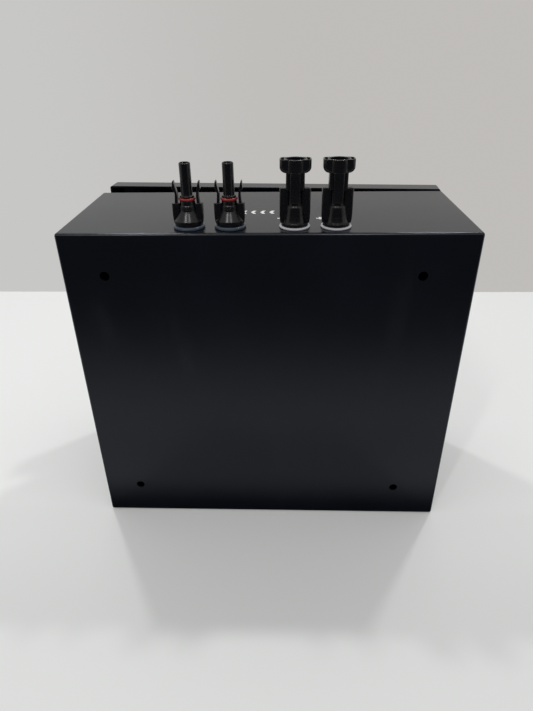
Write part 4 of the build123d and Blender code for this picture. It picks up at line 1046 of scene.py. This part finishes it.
@dataclass
class RailRow:
    """The mounting plate, rail and the modules on it, with their leads and busbars."""

    paints: Paintbox
    nose_y: float = -79.5
    carrier_y: float = -80.0
    fuse_sign_z: float = -6.0
    window_z: float = -8.0
    ink: float = 0.06

    def build(self) -> None:
        """Dress the modules and add their small marks and windows."""
        dress = self.paints.dress
        dress(ZINC_SHEET, "mounting_plate", "din_rail")
        dress(ZINC, "stud_nuts", "rail_screws", "terminal_screws")
        dress(MODULE_PLASTIC, "breaker_body", "surge_base")
        dress(CARRIER_PLASTIC, "end_stop_left", "end_stop_right")
        dress(TOGGLE_PLASTIC, "breaker_toggle")
        dress(TINNED, "fuse_clips")
        dress(COPPER, "comb_busbar_negative", "comb_busbar_positive")
        dress(BLACK_LEAD, "input_leads")
        dress(EARTH_LEAD, "earth_lead")
        earth_x = self.middle_x("earth_terminal")
        earth = TwoColour((0.05, 0.22, 0.03), (0.66, 0.52, 0.03), Axis.X, earth_x, 2.2)
        dress(earth, "earth_terminal")
        dress(NUT_PLASTIC, "connector_nuts")
        for number in range(1, 5):
            dress(MODULE_PLASTIC, f"fuse_holder_{number}")
            dress(CARRIER_PLASTIC, f"fuse_carrier_{number}")
            dress(FUSE_TUBE, f"fuse_{number}")
            self.print_fuse_sign(number)
        for pole in ("positive", "earth", "negative"):
            dress(CARTRIDGE_PLASTIC, f"surge_cartridge_{pole}")
            self.add_window(pole)
        self.print_switch_signs()

    def middle_x(self, node: str) -> float:
        """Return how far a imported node's middle is along X, in millimetres."""
        low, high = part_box(node)
        return (low.x + high.x) / 2 / MM

    def print_fuse_sign(self, number: int) -> None:
        """Print a fuse's drawing sign on the front of a carrier: a long box with a line through it.

        Args:
            number: The carrier's number.
        """
        sign = Workpiece(f"print_fuse_sign_{number}")
        half_width, half_height, line, reach = 1.5, 3.4, 0.35, 5.6
        outer = rectangle(-half_width, half_width, -half_height, half_height)
        inner = rectangle(line - half_width, half_width - line, line - half_height, half_height - line)
        sign.frame(outer, inner, -self.ink, self.ink, Facing.FRONT)
        sign.slab(rectangle(-line / 2, line / 2, -reach, reach), -self.ink, self.ink, Facing.FRONT)
        x = self.middle_x(f"fuse_carrier_{number}")
        place = Matrix.Translation((x, self.carrier_y, self.fuse_sign_z))
        sign.done(place, self.paints.material(BLACK_INK), f"carrier_{number}")

    def print_switch_signs(self) -> None:
        """Print a bar above the breaker's toggle and a ring below it."""
        signs = Workpiece("print_switch_signs")
        offset, half_bar, line, radius = 13.5, 2.4, 0.6, 2.1
        bar = [(x, z + offset) for x, z in rectangle(-line / 2, line / 2, -half_bar, half_bar)]
        signs.slab(bar, -self.ink, self.ink, Facing.FRONT)
        outer, inner = (
            [(x, z - offset) for x, z in ellipse(size, size, 32)] for size in (radius, radius - line)
        )
        signs.frame(outer, inner, -self.ink, self.ink, Facing.FRONT)
        place = Matrix.Translation((self.middle_x("breaker_body"), self.nose_y, 0.0))
        signs.done(place, self.paints.material(BLACK_INK), "box")

    def add_window(self, pole: str) -> None:
        """Set a status window in the front of a surge cartridge.

        Args:
            pole: Name of the cartridge's pole.
        """
        window = Workpiece(f"status_window_{pole}")
        half_width, half_height, proud, sunk = 2.4, 1.6, 0.25, 0.15
        outline = soften(rectangle(-half_width, half_width, -half_height, half_height), 0.8)
        window.slab(outline, -proud, sunk, Facing.FRONT, edge=0.12)
        place = Matrix.Translation((self.middle_x(f"surge_cartridge_{pole}"), self.nose_y, self.window_z))
        window.done(place, self.paints.material(GREEN_WINDOW), f"cartridge_{pole}")


@dataclass(frozen=True)
class Lamp:
    """An oblong lamp that faces the box: place and sides in metres, power in watts."""

    name: str
    place: Spot
    sides: Point
    power: float

    def hang(self) -> None:
        """Add the lamp to the scene."""
        light = bpy.data.lights.new(self.name, "AREA")
        light.shape = "RECTANGLE"
        light.size, light.size_y = self.sides
        light.energy = self.power
        lamp = bpy.data.objects.new(self.name, light)
        bpy.context.scene.collection.objects.link(lamp)
        lamp.location = self.place
        lamp.rotation_euler = (-Vector(self.place)).to_track_quat("-Z", "Y").to_euler()


@dataclass(frozen=True)
class Studio:
    """The room, in metres: pale floor and wall, lamps, dark cards and the camera of the photograph."""

    floor_height: float = -0.12
    floor_reach: float = 40.0
    floor_colour: Colour = (0.76, 0.768, 0.757)
    # How dark the painted shade makes the floor near the camera and on the hinge side.
    floor_painted_shade: float = 0.84
    wall_line: float = -0.461
    wall_reach: float = 12.0
    wall_top: float = 6.0
    wall_colour: Colour = (0.525, 0.510, 0.493)
    # The lighter glow of the wall's painted light, towards +X and high up.
    wall_painted_light: Colour = (0.572, 0.571, 0.564)
    fill_strength: float = 0.71
    flag_colour: Colour = (0.02, 0.02, 0.02)
    flag_clearness: float = 0.7
    flags: tuple[tuple[str, Spot, Spot], ...] = (
        ("floor_flag", (-2.0, -0.001, -0.1192), (2.0, 4.0, -0.1192)),
        ("rear_flag", (-2.5, 1.6, -0.1192), (2.5, 1.6, 0.9)),
    )
    lamps: tuple[Lamp, ...] = (
        Lamp("rear_lamp_left", (0.53, -0.738, 1.703), (0.09, 0.09), 6.0),
        Lamp("rear_lamp_right", (-0.57, -0.715, 1.691), (0.09, 0.09), 6.0),
        Lamp("left_strip", (0.57, 1.13, 1.55), (0.07, 0.42), 4.8),
        Lamp("right_strip", (-0.30, 1.24, 1.55), (0.07, 0.42), 3.1),
    )
    camera_place: Spot = (-0.0142, 0.3277, 0.2233)
    camera_turn: Spot = (59.748, 0.701, -178.268)
    sensor: float = 36.0
    lens: float = 27.29

    def build(self) -> None:
        """Build the floor, wall, lamps, dark cards and camera."""
        self.lay_floor()
        self.stand_wall()
        self.light_room()
        for name, start, end in self.flags:
            self.stand_flag(name, start, end)
        self.set_camera()

    def lay_floor(self) -> None:
        """Lay one wide floor with a faint mottle, and painted shade that darkens it near the camera and on
        the hinge side.
        """
        board = PaintBoard("floor_paint", {"Roughness": 0.5, "Specular IOR Level": 0.25})
        across, depth, _ = board.axes()
        pale = shade(self.floor_colour, 1.015)
        mottled = board.tint(board.cloud(180, 3), self.floor_colour, pale)
        # Painted shade: the floor's colour darkens towards the camera and on the hinge side, standing in
        # for the wide edge of the box's shadow and the light falling off.
        near, lock_side = depth.step(-0.02, 0.12), across.step(-0.4, 0.1)
        dull = shade(self.floor_colour, self.floor_painted_shade)
        board.feed("Base Color", board.tint(0.7 * near + 0.3 * (1 - lock_side), mottled, dull))
        reach, low = self.floor_reach, self.floor_height
        self.stand_card("floor", (-reach, -reach, low), (reach, reach, low), board.material)

    def stand_wall(self) -> None:
        """Stand the pale wall beyond the door: clear from its far side, and it shades nothing. It glows
        with painted light, lighter towards +X and high up.
        """
        black = (0.0, 0.0, 0.0, 1.0)
        constants = {"Base Color": black, "Specular IOR Level": 0.0, "Emission Strength": 1.0}
        board = PaintBoard("wall_paint", constants)
        across, _, height = board.axes()
        # Painted light: the wall's glow is lighter towards the lock side and high up, standing in for how
        # the room's light falls on it.
        lock_side, high_up = across.step(-0.05, 0.36), height.step(0.27, 0.4)
        board.feed(
            "Emission Color", board.tint(lock_side + 0.8 * high_up, self.wall_colour, self.wall_painted_light)
        )
        clear = board.add("ShaderNodeBsdfTransparent")
        far_side = board.add("ShaderNodeNewGeometry").outputs["Backfacing"]
        sides = {0: far_side, 1: board.shader.outputs[0], 2: clear.outputs[0]}
        mix = board.add("ShaderNodeMixShader", inputs=sides)
        output = next(node for node in board.tree.nodes if node.type == "OUTPUT_MATERIAL")
        board.plug(mix.outputs[0], output.inputs[0])
        start = (self.wall_reach, self.wall_line, self.floor_height)
        end = (-self.wall_reach, self.wall_line, self.wall_top)
        self.stand_card("wall", start, end, board.material, ("diffuse", "volume_scatter", "shadow"))

    def stand_card(
        self,
        name: str,
        start: Spot,
        end: Spot,
        material: bpy.types.Material,
        hidden_from: Sequence[str] = (),
    ) -> None:
        """Stand a flat piece of the stage, level or upright.

        Args:
            name: Its name.
            start: One corner, in metres.
            end: The opposite corner.
            material: Its paint or cloth.
            hidden_from: The kinds of light rays that pass it by.
        """
        corners = [start, (end[0], start[1], start[2]), end, (start[0], end[1], end[2])]
        data = bpy.data.meshes.new(name)
        data.from_pydata(corners, [], [(0, 1, 2, 3)])
        data.materials.append(material)
        card = bpy.data.objects.new(name, data)
        bpy.context.scene.collection.objects.link(card)
        for ray in hidden_from:
            setattr(card, f"visible_{ray}", False)
        LOG.info("set up %s", name)

    def light_room(self) -> None:
        """Show the wall's colour behind everything, light the object softly and hang the lamps."""
        world = bpy.data.worlds.new("room")
        bpy.context.scene.world = world
        world.use_nodes = True
        board = Board(world.node_tree)
        board.tree.nodes.clear()
        wall = board.add("ShaderNodeBackground", inputs={0: self.wall_colour, 1: 1.0})
        fill = board.add("ShaderNodeBackground", inputs={0: (1.0, 1.0, 1.0), 1: self.fill_strength})
        mix = board.add(
            "ShaderNodeMixShader", inputs={0: board.seen(), 1: fill.outputs[0], 2: wall.outputs[0]}
        )
        board.add("ShaderNodeOutputWorld", inputs={0: mix.outputs[0]})
        for lamp in self.lamps:
            lamp.hang()

    def stand_flag(self, name: str, start: Spot, end: Spot) -> None:
        """Put up a dark card that only reflections show: a painted dark reflection, like the dim room round
        the camera.

        It is fully dark right at the foot of the box, as painted shade in the mirrored floor there, then
        partly clear over a strip of floor at the back of the box, which the paint mirrors brightest.

        Args:
            name: The card's name.
            start: One corner, in metres.
            end: The opposite corner.
        """
        board = PaintBoard(f"{name}_cloth", {"Roughness": 0.9})
        faded = shade(self.flag_colour, 1.75)
        board.feed("Base Color", board.tint(board.cloud(60, 2), self.flag_colour, faded))
        _, depth, _ = board.axes()
        # Painted shade in reflections: fully dark within a few millimetres of the box's foot, mostly clear
        # just behind it, and dark again further out.
        started, ended = depth.step(0.004, 0.042), depth.step(0.10, 0.38)
        board.feed("Alpha", 1 - self.flag_clearness * started * (1 - ended))
        unseen_by = ("camera", "diffuse", "transmission", "volume_scatter", "shadow")
        self.stand_card(name, start, end, board.material, unseen_by)

    def set_camera(self) -> None:
        """Stand the camera where the photograph was taken from."""
        data = bpy.data.cameras.new("camera")
        data.sensor_width = self.sensor
        data.lens = self.lens
        data.clip_start = 0.01
        camera = bpy.data.objects.new("camera", data)
        camera.location = self.camera_place
        camera.rotation_euler = Euler([math.radians(angle) for angle in self.camera_turn])
        bpy.context.scene.collection.objects.link(camera)
        bpy.context.scene.camera = camera
        bpy.context.scene.view_settings.view_transform = "Standard"


def main() -> None:
    """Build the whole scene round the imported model."""
    logging.basicConfig(level=logging.INFO, format="%(message)s")
    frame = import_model()
    paints = Paintbox(frame["nodes"])
    Studio().build()
    Case(paints).build()
    connectors = (
        (Kind.SOCKET, 1, 47.2), (Kind.SOCKET, 2, 20.7), (Kind.PLUG, 1, -20.7), (Kind.PLUG, 2, -47.2),
    )
    for kind, number, x in connectors:
        PanelConnector(paints, kind, number, x).build()
    PanelMarks(paints).build()
    RailRow(paints).build()


if __name__ == "__main__":
    main()
